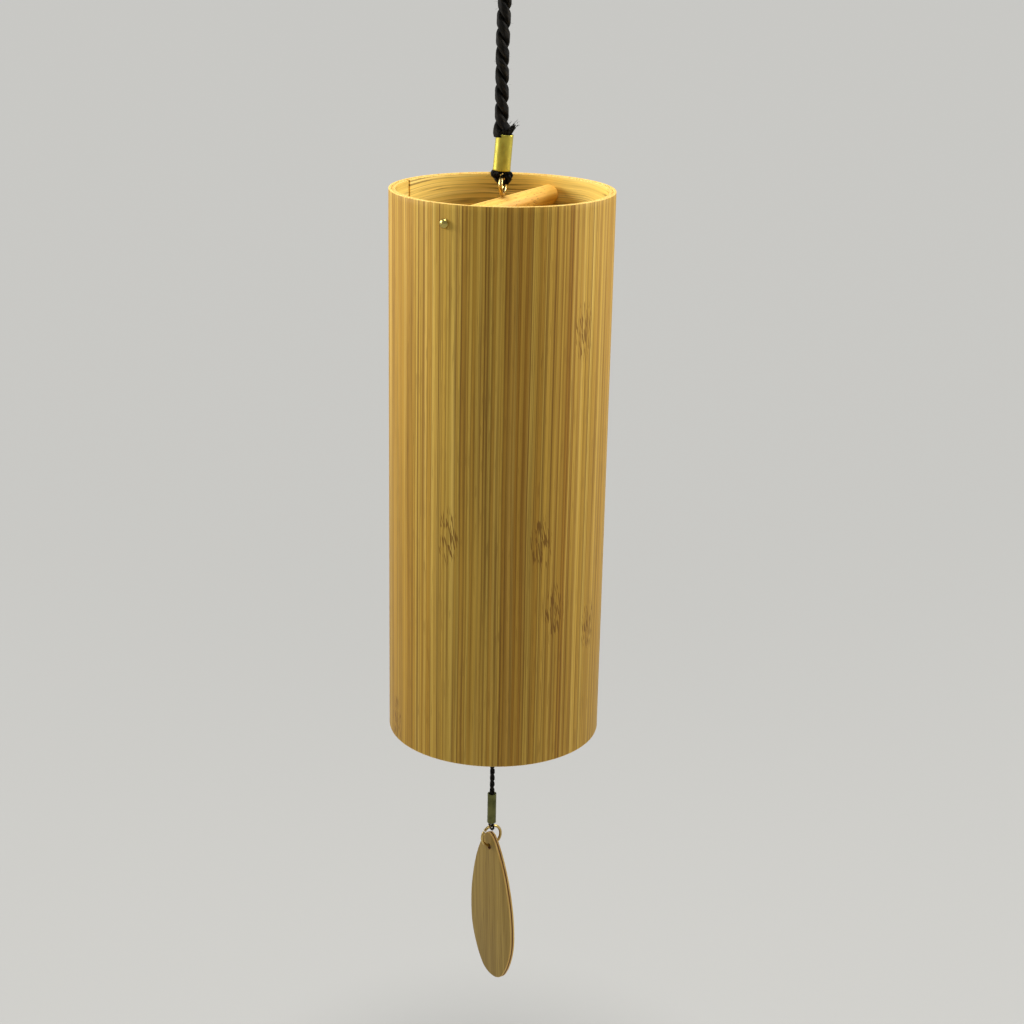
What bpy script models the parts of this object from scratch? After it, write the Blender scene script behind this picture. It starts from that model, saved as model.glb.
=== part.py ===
"""A wind chime: a bamboo tube of tone rods on a rope, with a striker inside and a leaf-shaped sail."""

import math

import bmesh
import bpy
from mathutils import Matrix, Vector

MM = 0.001
CLEARANCE = 0.3 * MM

# Round shapes
TUBE_SEGMENTS = 96
PLATE_SEGMENTS = 72
PIN_SEGMENTS = 24
ROD_SEGMENTS = 16
RING_SEGMENTS = 32
WIRE_SEGMENTS = 10
HOLE_SEGMENTS = 16
DOME_STEPS = 5
CORD_SIDES = 2  # Blender's bevel_resolution: eight sides
CORD_STEP = 2.5  # diameters between a cord's points
TIGHT_STEP = 0.45  # the same, in a small bend

# Hanging loop and rope. The origin is the inside top of the loop, where a hook holds it.
LOOP_CORD = 2.2 * MM
LOOP_HALF = [
    (0.0, 1.1), (3.7, 0.2), (6.6, -3.4), (8.2, -9.5), (7.6, -17.0),
    (5.3, -26.0), (2.9, -33.2), (1.75, -36.6), (0.0, -38.6),
]  # x and z in mm, from the top of the loop down its right-hand leg to the fork
FORK_GAP = 1.0 * MM
ROPE_DIAMETER = 3.6 * MM
ROPE_LENGTH = 42.2 * MM  # from the fork to the ferrule
FERRULE_ENTRY = 3.0 * MM  # how far a cord goes into a ferrule

# Upper ferrule and the bight of cord that carries the eye
FERRULE_WALL = 0.4 * MM
FERRULE_LENGTH = 10.1 * MM
BIGHT_CORD = 1.5 * MM
BIGHT_DROP = 1.7 * MM  # from the ferrule's mouth to the centre of the wire it carries
BIGHT_TURN = math.radians(105)
BIGHT_PLAY = 0.4 * MM
BIGHT_LEG_GAP = 0.2 * MM  # least gap between its two legs
BIGHT_SLACK = 0.05 * MM

# Dowel and its two screw eyes
DOWEL_DIAMETER = 5.8 * MM
DOWEL_DROP = 5.35 * MM  # from the tube's rim down to the dowel's axis
DOWEL_ROUND = 1.0 * MM
DOWEL_WEB = 0.8 * MM  # wood left between the two eyes' holes
EYE_WIRE = 1.2 * MM
EYE_OUTER = 6.0 * MM
EYE_NECK = 0.35 * MM
EYE_TURN = BIGHT_TURN - math.pi / 2
LOWER_EYE_WIRE = 1.0 * MM
LOWER_EYE_OUTER = 5.0 * MM

# Tube: an outer veneer round a thinner lining whose ends meet at a butt seam
TUBE_DIAMETER = 64.0 * MM
TUBE_HEIGHT = 164.0 * MM
VENEER = 0.85 * MM
LINING = 0.85 * MM
SEAM_WIDTH = 1.0 * MM
SEAM_TURN = math.radians(92)

# Nails through the tube into the dowel
NAIL_HEAD = 2.6 * MM
NAIL_DOME = 0.8 * MM
NAIL_SHANK = 1.2 * MM
NAIL_LENGTH = 10.5 * MM

# Base plate, tone rods and solder
PLATE_THICKNESS = 2.0 * MM
PLATE_RECESS = 4.0 * MM
PLATE_HOLE = 16.0 * MM
ROD_DIAMETER = 1.6 * MM
ROD_CIRCLE = 36.0 * MM
ROD_FOOT = 0.4 * MM  # how far a rod's foot shows under the plate
NOTES_HZ = [392.0, 523.25, 659.26, 698.46, 783.99, 1046.5, 1318.51, 1567.98]
STEEL_WAVE_SPEED = 5050.0
FIRST_MODE = 0.5596  # clamped and free bar
SECOND_MODE = 6.267  # the partial that sounds, over the first
BEAD_WALL = 0.9 * MM
BEAD_HEIGHT = 1.2 * MM

# Striker on its line
LINE_CORD = 1.3 * MM
LINE_LOOP_DROP = 6.0 * MM
LINE_LEG_SPACING = 1.7 * MM
KNOT_DIAMETER = 3.2 * MM
KNOT_HEIGHT = 2.6 * MM
DISC_DIAMETER = 26.0 * MM
DISC_THICKNESS = 4.0 * MM
DISC_DEPTH = 104.0 * MM  # from the tube's rim down to the disc
LINE_PLAY = 0.35 * MM

# Sail cord, lower ferrule and jump ring
BEND_GAP = 0.6 * MM
SAIL_CORD_LENGTH = 30.15 * MM
LOWER_FERRULE_OUTER = 2.8 * MM
LOWER_FERRULE_WALL = 0.3 * MM
LOWER_FERRULE_LENGTH = 10.1 * MM
SMALL_CORD = 0.7 * MM
SMALL_DROP = 1.4 * MM
SMALL_LEG_SPACING = 0.9 * MM
SMALL_PLAY = 0.35 * MM
RING_WIRE = 0.9 * MM
RING_OUTER = 7.7 * MM

# Sail: half of the leaf's outline, as half width and depth under its tip
LEAF_HALF = [
    (0.0, 0.0), (1.6, 0.5), (3.0, 1.9), (4.6, 4.2), (6.7, 8.0), (8.6, 12.6), (10.2, 18.0),
    (11.4, 24.0), (11.8, 30.0), (11.5, 35.6), (10.2, 40.4), (8.0, 45.0), (5.2, 48.6), (2.4, 50.2),
]  # mm
SAIL_THICKNESS = 1.6 * MM
SAIL_HOLE = 2.0 * MM
SAIL_HOLE_DEPTH = 4.8 * MM
SAIL_TURN = math.radians(61.2)
SAIL_LEAN = math.radians(3.5)

# Heights, from the hook down
FORK_Z = LOOP_HALF[-1][1] * MM - LOOP_CORD / 2
ROPE_TOP = FORK_Z - FORK_GAP
FERRULE_TOP = ROPE_TOP - ROPE_LENGTH
FERRULE_BOTTOM = FERRULE_TOP - FERRULE_LENGTH
EYE_WIRE_Z = FERRULE_BOTTOM - BIGHT_DROP
EYE_Z = EYE_WIRE_Z - (EYE_OUTER - EYE_WIRE) / 2
BIGHT_RADIUS = EYE_WIRE / 2 + BIGHT_PLAY + BIGHT_CORD / 2
DOWEL_TOP = EYE_Z - EYE_OUTER / 2 - EYE_NECK
DOWEL_Z = DOWEL_TOP - DOWEL_DIAMETER / 2
DOWEL_BOTTOM = DOWEL_Z - DOWEL_DIAMETER / 2
RIM_Z = DOWEL_Z + DOWEL_DROP
TUBE_BOTTOM = RIM_Z - TUBE_HEIGHT
PLATE_BOTTOM = TUBE_BOTTOM + PLATE_RECESS
PLATE_TOP = PLATE_BOTTOM + PLATE_THICKNESS
LOWER_EYE_Z = DOWEL_BOTTOM - EYE_NECK - LOWER_EYE_OUTER / 2
LINE_PIVOT = LOWER_EYE_Z - (LOWER_EYE_OUTER - LOWER_EYE_WIRE) / 2
LOOP_KNOT_Z = LINE_PIVOT - LINE_LOOP_DROP - CLEARANCE - KNOT_HEIGHT / 2
LINE_TOP = LOOP_KNOT_Z - KNOT_HEIGHT / 2 - CLEARANCE
DISC_TOP = RIM_Z - DISC_DEPTH
DISC_BOTTOM = DISC_TOP - DISC_THICKNESS
KNOT_Z = DISC_BOTTOM - 2 * CLEARANCE - KNOT_HEIGHT / 2
CORD_BEND = (PLATE_TOP + PLATE_BOTTOM) / 2
LOWER_FERRULE_TOP = CORD_BEND - SAIL_CORD_LENGTH
LOWER_FERRULE_BOTTOM = LOWER_FERRULE_TOP - LOWER_FERRULE_LENGTH
RING_WIRE_Z = LOWER_FERRULE_BOTTOM - SMALL_DROP
SMALL_RADIUS = RING_WIRE / 2 + SMALL_PLAY + SMALL_CORD / 2
RING_Z = RING_WIRE_Z - (RING_OUTER - RING_WIRE) / 2
RING_BOTTOM_WIRE = RING_Z - (RING_OUTER - RING_WIRE) / 2
SAIL_HOLE_Z = RING_BOTTOM_WIRE - (SAIL_HOLE / 2 - RING_WIRE / 2 - CLEARANCE)

# Radii worked out from the sizes above
TUBE_RADIUS = TUBE_DIAMETER / 2
VENEER_INNER = TUBE_RADIUS - VENEER
LINING_OUTER = VENEER_INNER - CLEARANCE
LINING_INNER = LINING_OUTER - LINING
BIGHT_HALF = BIGHT_CORD + BIGHT_LEG_GAP / 2 + BIGHT_SLACK
FERRULE_BORE = max(ROPE_DIAMETER / 2, BIGHT_HALF) + CLEARANCE
BIGHT_LEG = FERRULE_BORE - CLEARANCE - BIGHT_CORD / 2 - BIGHT_SLACK
NAIL_HOLE = NAIL_SHANK + 2 * CLEARANCE
NAIL_SEAT = TUBE_RADIUS + CLEARANCE


def clear_scene():
    for item in list(bpy.data.objects):
        bpy.data.objects.remove(item, do_unlink=True)


def make_material(name, colour, roughness, metallic=0.0):
    material = bpy.data.materials.new(name)
    material.use_nodes = True
    shader = material.node_tree.nodes["Principled BSDF"]
    shader.inputs["Base Color"].default_value = (*colour, 1.0)
    shader.inputs["Roughness"].default_value = roughness
    shader.inputs["Metallic"].default_value = metallic
    return material


def attach(piece, parent, position):
    """Puts a piece at a world position under a parent that isn't turned."""
    piece.parent = parent
    offset = Vector(position)
    while parent:
        offset -= parent.location
        parent = parent.parent
    piece.location = offset


def add_joint(name, height, parent):
    """An empty on a joint's axis, which the pieces of its body hang from."""
    empty = bpy.data.objects.new(name, None)
    empty.empty_display_size = 4 * MM
    bpy.context.collection.objects.link(empty)
    attach(empty, parent, (0, 0, height))
    return empty


def add_piece(name, data, material, parent, position=(0, 0, 0), turn=(0, 0, 0)):
    piece = bpy.data.objects.new(name, data)
    piece.data.materials.append(material)
    piece.rotation_euler = turn
    bpy.context.collection.objects.link(piece)
    attach(piece, parent, position)
    return piece


def finish_mesh(name, shape):
    """A bmesh as a closed mesh with its faces out, smooth but for its sharp edges."""
    bmesh.ops.remove_doubles(shape, verts=shape.verts, dist=0.0005 * MM)
    bmesh.ops.recalc_face_normals(shape, faces=shape.faces)
    mesh = bpy.data.meshes.new(name)
    shape.to_mesh(mesh)
    shape.free()
    mesh.shade_smooth()
    mesh.set_sharp_from_angle(angle=math.radians(40))
    return mesh


def turned_mesh(name, profile, segments, closed):
    """A profile of radius and height spun about Z. A closed one makes a ring or a tube."""
    shape = bmesh.new()
    points = [shape.verts.new((radius, 0, height)) for radius, height in profile]
    edges = [shape.edges.new(pair) for pair in zip(points, points[1:])]
    if closed:
        edges.append(shape.edges.new((points[-1], points[0])))
    bmesh.ops.spin(
        shape, geom=points + edges, cent=(0, 0, 0), axis=(0, 0, 1),
        angle=math.tau, steps=segments, use_merge=True,
    )
    return finish_mesh(name, shape)


def tube_mesh(name, outer, inner, bottom, top, segments):
    profile = [(outer, top), (outer, bottom), (inner, bottom), (inner, top)]
    return turned_mesh(name, profile, segments, closed=True)


def rod_mesh(name, radius, bottom, top, segments):
    profile = [(0, top), (radius, top), (radius, bottom), (0, bottom)]
    return turned_mesh(name, profile, segments, closed=False)


def ring_mesh(name, outer, wire):
    """A wire ring standing in the X-Z plane."""
    centre = outer / 2 - wire / 2
    angles = [math.tau * i / WIRE_SEGMENTS for i in range(WIRE_SEGMENTS)]
    profile = [(centre + wire / 2 * math.cos(a), wire / 2 * math.sin(a)) for a in angles]
    mesh = turned_mesh(name, profile, RING_SEGMENTS, closed=True)
    mesh.transform(Matrix.Rotation(math.pi / 2, 4, "X"))
    return mesh


def knot_mesh(name):
    shape = bmesh.new()
    bmesh.ops.create_uvsphere(shape, u_segments=16, v_segments=8, radius=KNOT_DIAMETER / 2)
    bmesh.ops.scale(shape, vec=(1, 1, KNOT_HEIGHT / KNOT_DIAMETER), verts=shape.verts)
    return finish_mesh(name, shape)


def add_cutter(name, mesh, parent, position=(0, 0, 0), turn=(0, 0, 0)):
    cutter = bpy.data.objects.new(name, mesh)
    cutter.hide_render = True
    cutter.display_type = "WIRE"
    cutter.rotation_euler = turn
    bpy.context.collection.objects.link(cutter)
    attach(cutter, parent, position)
    return cutter


def combine(piece, other, operation):
    boolean = piece.modifiers.new(other.name, "BOOLEAN")
    boolean.operation = operation
    boolean.object = other


def smooth_route(points, step, closed=False):
    """Points about one step apart on a smooth curve through the given ones."""
    points = [Vector(point) for point in points]
    if closed:
        ring = [points[-1], *points, points[0], points[1]]
    else:
        ring = [2 * points[0] - points[1], *points, 2 * points[-1] - points[-2]]
    route = []
    for before, start, end, after in zip(ring, ring[1:], ring[2:], ring[3:]):
        count = max(1, round((end - start).length / step))
        for i in range(count):
            t = i / count
            route.append(
                0.5 * (2 * start + (end - before) * t)
                + 0.5 * (2 * before - 5 * start + 4 * end - after) * t * t
                + 0.5 * (3 * start - before - 3 * end + after) * t**3
            )
    if not closed:
        route.append(points[-1])
    return route


def cord_curve(name, points, diameter, step=CORD_STEP, closed=False):
    """A round cord along a smooth route."""
    curve = bpy.data.curves.new(name, "CURVE")
    curve.dimensions = "3D"
    curve.bevel_depth = diameter / 2
    curve.bevel_resolution = CORD_SIDES
    curve.use_fill_caps = not closed
    route = smooth_route(points, step * diameter, closed)
    spline = curve.splines.new("POLY")
    spline.points.add(len(route) - 1)
    for point, place in zip(spline.points, route):
        point.co = (*place, 1.0)
    spline.use_cyclic_u = closed
    return curve


def straight_cord(name, top, bottom, diameter):
    middle = (top + bottom) / 2
    return cord_curve(name, [(0, 0, top), (0, 0, middle), (0, 0, bottom)], diameter)


def bight_route(leg, radius, wire, mouth, top):
    """A cord's way out of a ferrule, round a wire under its mouth and back."""
    side = [
        (leg, top),
        (leg, mouth + (mouth - wire) * 0.3),
        ((leg + radius) / 2 + radius * 0.1, (mouth + wire) / 2),
        (radius, wire),
        (radius * math.sqrt(0.5), wire - radius * math.sqrt(0.5)),
    ]
    right = [(x, 0, z) for x, z in side]
    left = [(-x, 0, z) for x, z in reversed(side)]
    return [*right, (0, 0, wire - radius), *left]


def build_hanger(cord):
    """The open loop at the rope's top, over the hook."""
    hanger = add_joint("hanger", 0, None)
    right = [(x * MM, 0, z * MM) for x, z in LOOP_HALF]
    left = [(-x * MM, 0, z * MM) for x, z in reversed(LOOP_HALF[1:-1])]
    loop = cord_curve("hanging_loop", right + left, LOOP_CORD, closed=True)
    add_piece("hanging_loop", loop, cord, hanger)
    return hanger


def build_rope(cord, brass, hanger):
    """The rope, and the ferrule and bight under it, which turn as the rope twists."""
    rope = add_joint("rope", (FORK_Z + ROPE_TOP) / 2, hanger)
    bottom = FERRULE_TOP - FERRULE_ENTRY
    curve = straight_cord(
        "hanging_rope", ROPE_TOP - rope.location.z, bottom - rope.location.z, ROPE_DIAMETER
    )
    add_piece("hanging_rope", curve, cord, rope, (0, 0, rope.location.z))
    end = add_joint("rope_end", FERRULE_TOP, rope)
    outer = FERRULE_BORE + FERRULE_WALL
    sleeve = tube_mesh("rope_ferrule", outer, FERRULE_BORE, -FERRULE_LENGTH, 0, PIN_SEGMENTS)
    add_piece("rope_ferrule", sleeve, brass, end, (0, 0, FERRULE_TOP))
    inside = FERRULE_BOTTOM + FERRULE_ENTRY
    route = bight_route(BIGHT_LEG, BIGHT_RADIUS, EYE_WIRE_Z, FERRULE_BOTTOM, inside)
    bight = cord_curve("rope_bight", route, BIGHT_CORD, TIGHT_STEP)
    add_piece("rope_bight", bight, cord, end, (0, 0, 0), (0, 0, BIGHT_TURN))
    return end


def build_tube(bamboo, lining_wood, chime):
    """The veneer and its lining, cut through on each side for a nail."""
    outer = tube_mesh("tube_veneer", TUBE_RADIUS, VENEER_INNER, -TUBE_HEIGHT, 0, TUBE_SEGMENTS)
    veneer = add_piece("tube_veneer", outer, bamboo, chime, (0, 0, RIM_Z))
    inner = tube_mesh("tube_lining", LINING_OUTER, LINING_INNER, -TUBE_HEIGHT, 0, TUBE_SEGMENTS)
    lining = add_piece("tube_lining", inner, lining_wood, chime, (0, 0, RIM_Z))
    drill = rod_mesh("nail_drill", NAIL_HOLE / 2, -TUBE_DIAMETER, TUBE_DIAMETER, HOLE_SEGMENTS)
    hole = add_cutter("nail_drill", drill, chime, (0, 0, DOWEL_Z), (0, math.pi / 2, 0))
    combine(veneer, hole, "DIFFERENCE")
    combine(lining, hole, "DIFFERENCE")
    middle = (LINING_OUTER + LINING_INNER) / 2
    shape = bmesh.new()
    bmesh.ops.create_cube(shape, size=1.0)
    bmesh.ops.scale(shape, vec=(4 * LINING, SEAM_WIDTH, 2 * TUBE_HEIGHT), verts=shape.verts)
    bmesh.ops.translate(shape, vec=(middle, 0, 0), verts=shape.verts)
    slit = finish_mesh("seam_slit", shape)
    seam = add_cutter("seam_slit", slit, chime, (0, 0, RIM_Z), (0, 0, SEAM_TURN))
    combine(lining, seam, "DIFFERENCE")


def dowel_mesh():
    """A round dowel along Z with rounded ends."""
    half = LINING_INNER - CLEARANCE
    radius = DOWEL_DIAMETER / 2
    angles = [math.pi / 2 * i / DOME_STEPS for i in range(DOME_STEPS + 1)]
    corner = [
        (radius - DOWEL_ROUND * (1 - math.sin(a)), half - DOWEL_ROUND * (1 - math.cos(a)))
        for a in angles
    ]
    top = [(0, half), *corner]
    bottom = [(r, -z) for r, z in reversed(top)]
    return turned_mesh("cross_dowel", top + bottom, PIN_SEGMENTS, closed=False)


def build_dowel(beech, chime):
    """The dowel across the tube, drilled for its nails and its two screw eyes."""
    dowel = add_piece(
        "cross_dowel", dowel_mesh(), beech, chime, (0, 0, DOWEL_Z), (0, math.pi / 2, 0)
    )
    deep = NAIL_LENGTH + CLEARANCE
    drill = rod_mesh("end_drill", NAIL_HOLE / 2, -deep, deep, HOLE_SEGMENTS)
    for side, name in ((-1, "left"), (1, "right")):
        place = (side * NAIL_SEAT, 0, DOWEL_Z)
        hole = add_cutter(f"end_drill_{name}", drill, chime, place, (0, math.pi / 2, 0))
        combine(dowel, hole, "DIFFERENCE")
    depth = DOWEL_DIAMETER / 2 - DOWEL_WEB / 2
    for height, wire, name in (
        (DOWEL_TOP, EYE_WIRE, "upper"),
        (DOWEL_BOTTOM, LOWER_EYE_WIRE, "lower"),
    ):
        size = wire / 2 + CLEARANCE
        bit = rod_mesh(f"{name}_eye_drill", size, -depth, depth, HOLE_SEGMENTS)
        hole = add_cutter(f"{name}_eye_drill", bit, chime, (0, 0, height))
        combine(dowel, hole, "DIFFERENCE")


def add_eye(name, brass, chime, height, outer, wire, turn, side):
    """A screw eye. side is -1 where its shank goes down into the dowel, and 1 where it goes up."""
    eye = add_piece(name, ring_mesh(name, outer, wire), brass, chime, (0, 0, height), (0, 0, turn))
    depth = DOWEL_DIAMETER / 2 - DOWEL_WEB / 2 - CLEARANCE
    ends = sorted((side * (outer - wire) / 2, side * (outer / 2 + EYE_NECK + depth)))
    shank = add_cutter(
        f"{name}_shank", rod_mesh(f"{name}_shank", wire / 2, *ends, WIRE_SEGMENTS), chime,
        (0, 0, height), (0, 0, turn),
    )
    combine(eye, shank, "UNION")


def add_nail(name, brass, chime, side):
    """A domed nail, through the wall and into the dowel's end."""
    angles = [math.pi / 2 * i / DOME_STEPS for i in range(DOME_STEPS + 1)]
    dome = [(NAIL_HEAD / 2 * math.sin(a), NAIL_DOME * math.cos(a)) for a in angles]
    shank = NAIL_SHANK / 2
    profile = [*dome, (shank, 0), (shank, shank - NAIL_LENGTH), (0, -NAIL_LENGTH)]
    mesh = turned_mesh(name, profile, PIN_SEGMENTS, closed=False)
    place = (side * NAIL_SEAT, 0, DOWEL_Z)
    add_piece(name, mesh, brass, chime, place, (0, side * math.pi / 2, 0))


def rod_length(frequency):
    """The free length of a steel rod, clamped at its foot, that sounds this note."""
    gyration = ROD_DIAMETER / 4
    return math.sqrt(SECOND_MODE * FIRST_MODE * gyration * STEEL_WAVE_SPEED / frequency)


def build_rods(steel, solder, chime):
    """The base plate, and the ring of tone rods soldered into it."""
    radius = LINING_INNER - CLEARANCE
    disc = tube_mesh(
        "base_plate", radius, PLATE_HOLE / 2, -PLATE_THICKNESS, 0, PLATE_SEGMENTS
    )
    plate = add_piece("base_plate", disc, steel, chime, (0, 0, PLATE_TOP))
    drill = rod_mesh(
        "rod_drill", ROD_DIAMETER / 2 + CLEARANCE, -TUBE_RADIUS, TUBE_RADIUS, HOLE_SEGMENTS
    )
    bead = tube_mesh(
        "solder", ROD_DIAMETER / 2 + CLEARANCE + BEAD_WALL, ROD_DIAMETER / 2 + CLEARANCE,
        0, BEAD_HEIGHT, ROD_SEGMENTS,
    )
    drill.transform(Matrix.Rotation(math.pi / HOLE_SEGMENTS, 4, "Z"))
    foot = -PLATE_THICKNESS - ROD_FOOT
    for index, frequency in enumerate(NOTES_HZ):
        angle = math.tau * index / len(NOTES_HZ)
        x = ROD_CIRCLE / 2 * math.cos(angle)
        y = ROD_CIRCLE / 2 * math.sin(angle)
        hole = add_cutter(f"rod_drill_{index + 1}", drill, chime, (x, y, PLATE_TOP))
        combine(plate, hole, "DIFFERENCE")
        name = f"tone_rod_{index + 1}"
        rod = rod_mesh(name, ROD_DIAMETER / 2, foot, rod_length(frequency), ROD_SEGMENTS)
        add_piece(name, rod, steel, chime, (x, y, PLATE_TOP))
        add_piece(f"solder_{index + 1}", bead, solder, chime, (x, y, PLATE_TOP + CLEARANCE))


def build_striker(cord, acrylic, chime):
    """The striker's loop on the lower eye, and the disc on its line between the rods."""
    loop_body = add_joint("striker_loop_body", LINE_PIVOT, chime)
    turn = (LOWER_EYE_WIRE + LINE_CORD) / 2 + CLEARANCE
    half = [(LINE_LEG_SPACING / 2, -LINE_LOOP_DROP), (LINE_LEG_SPACING / 2 + 0.2 * MM, -4 * MM)]
    half += [(turn, 0), (turn * math.sqrt(0.5), turn * math.sqrt(0.5))]
    right = [(x, 0, z) for x, z in half]
    left = [(-x, 0, z) for x, z in reversed(half)]
    loop = cord_curve("striker_loop", [*right, (0, 0, turn), *left], LINE_CORD, TIGHT_STEP)
    add_piece("striker_loop", loop, cord, loop_body, (0, 0, LINE_PIVOT), (0, 0, math.pi / 2))
    add_piece(
        "striker_loop_knot", knot_mesh("striker_loop_knot"), cord, loop_body, (0, 0, LOOP_KNOT_Z)
    )
    striker = add_joint("striker", LINE_TOP + CLEARANCE / 2, loop_body)
    line = straight_cord("striker_line", LINE_TOP, DISC_BOTTOM - CLEARANCE, LINE_CORD)
    add_piece("striker_line", line, cord, striker)
    bore = LINE_CORD / 2 + LINE_PLAY
    disc = tube_mesh("striker_disc", DISC_DIAMETER / 2, bore, -DISC_THICKNESS, 0, PLATE_SEGMENTS)
    add_piece("striker_disc", disc, acrylic, striker, (0, 0, DISC_TOP))
    add_piece("striker_knot", knot_mesh("striker_knot"), cord, striker, (0, 0, KNOT_Z))
    tail_top = KNOT_Z - KNOT_HEIGHT / 2 - CLEARANCE
    tail = straight_cord("striker_tail", tail_top, CORD_BEND + BEND_GAP / 2, LINE_CORD)
    add_piece("striker_tail", tail, cord, striker)
    return striker


def build_sail_cord(cord, brass, striker):
    """The cord under the tube, its ferrule, and the bight that carries the jump ring."""
    body = add_joint("sail_cord_body", CORD_BEND, striker)
    bottom = LOWER_FERRULE_TOP - FERRULE_ENTRY
    line = straight_cord("sail_cord", CORD_BEND - BEND_GAP / 2, bottom, LINE_CORD)
    add_piece("sail_cord", line, cord, body)
    end = add_joint("sail_end", LOWER_FERRULE_TOP, body)
    outer = LOWER_FERRULE_OUTER / 2
    inner = outer - LOWER_FERRULE_WALL
    sleeve = tube_mesh("sail_ferrule", outer, inner, -LOWER_FERRULE_LENGTH, 0, PIN_SEGMENTS)
    add_piece("sail_ferrule", sleeve, brass, end, (0, 0, LOWER_FERRULE_TOP))
    inside = LOWER_FERRULE_BOTTOM + FERRULE_ENTRY
    route = bight_route(
        SMALL_LEG_SPACING / 2, SMALL_RADIUS, RING_WIRE_Z, LOWER_FERRULE_BOTTOM, inside
    )
    bight = cord_curve("sail_bight", route, SMALL_CORD, TIGHT_STEP)
    add_piece("sail_bight", bight, cord, end, (0, 0, 0), (0, 0, SAIL_TURN))
    return end


def leaf_mesh():
    """The sail's leaf in the X-Z plane, its hole at the origin."""
    half = smooth_route([(x * MM, 0, -z * MM) for x, z in LEAF_HALF], 2 * MM)
    outline = half + [Vector((-p.x, 0, p.z)) for p in reversed(half[1:])]
    shape = bmesh.new()
    front = SAIL_THICKNESS / 2
    points = [shape.verts.new((p.x, front, p.z + SAIL_HOLE_DEPTH)) for p in outline]
    face = shape.faces.new(points)
    grown = bmesh.ops.extrude_face_region(shape, geom=[face])["geom"]
    back = [item for item in grown if isinstance(item, bmesh.types.BMVert)]
    bmesh.ops.translate(shape, vec=(0, -SAIL_THICKNESS, 0), verts=back)
    return finish_mesh("wind_sail", shape)


def build_sail(brass, bamboo, sail_end):
    """The jump ring on the bight, and the sail on the ring."""
    ring_body = add_joint("ring_body", RING_WIRE_Z - SMALL_RADIUS, sail_end)
    ring = ring_mesh("jump_ring", RING_OUTER, RING_WIRE)
    across = SAIL_TURN + math.pi / 2
    add_piece("jump_ring", ring, brass, ring_body, (0, 0, RING_Z), (0, 0, across))
    sail_body = add_joint("sail_body", RING_BOTTOM_WIRE, ring_body)
    turn = (0, SAIL_LEAN, SAIL_TURN)
    sail = add_piece("wind_sail", leaf_mesh(), bamboo, sail_body, (0, 0, SAIL_HOLE_Z), turn)
    punch = rod_mesh(
        "sail_punch", SAIL_HOLE / 2, -SAIL_THICKNESS, SAIL_THICKNESS, PIN_SEGMENTS
    )
    punch.transform(Matrix.Rotation(math.pi / 2, 4, "X"))
    hole = add_cutter("sail_punch", punch, sail_body, (0, 0, SAIL_HOLE_Z), turn)
    combine(sail, hole, "DIFFERENCE")


def build_chime():
    clear_scene()
    cord = make_material("black_braided_cord", (0.012, 0.011, 0.010), 0.85)
    brass = make_material("polished_brass", (0.70, 0.50, 0.16), 0.25, 1.0)
    bamboo = make_material("bamboo_veneer", (0.50, 0.32, 0.12), 0.45)
    lining_wood = make_material("bamboo_lining", (0.42, 0.27, 0.08), 0.55)
    beech = make_material("beech_dowel", (0.55, 0.32, 0.11), 0.50)
    steel = make_material("bright_steel", (0.56, 0.57, 0.58), 0.28, 1.0)
    solder = make_material("silver_solder", (0.60, 0.60, 0.57), 0.40, 1.0)
    acrylic = make_material("clear_acrylic", (0.86, 0.90, 0.90), 0.06)

    hanger = build_hanger(cord)
    rope_end = build_rope(cord, brass, hanger)
    chime = add_joint("chime", EYE_WIRE_Z - BIGHT_RADIUS, rope_end)
    build_tube(bamboo, lining_wood, chime)
    build_dowel(beech, chime)
    add_eye("upper_eye", brass, chime, EYE_Z, EYE_OUTER, EYE_WIRE, EYE_TURN, -1)
    add_eye("lower_eye", brass, chime, LOWER_EYE_Z, LOWER_EYE_OUTER, LOWER_EYE_WIRE, 0, 1)
    add_nail("nail_left", brass, chime, -1)
    add_nail("nail_right", brass, chime, 1)
    build_rods(steel, solder, chime)
    striker = build_striker(cord, acrylic, chime)
    sail_end = build_sail_cord(cord, brass, striker)
    build_sail(brass, bamboo, sail_end)


build_chime()
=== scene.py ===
import math
import random

import bmesh
import bpy
from mathutils import Matrix, Vector


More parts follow.
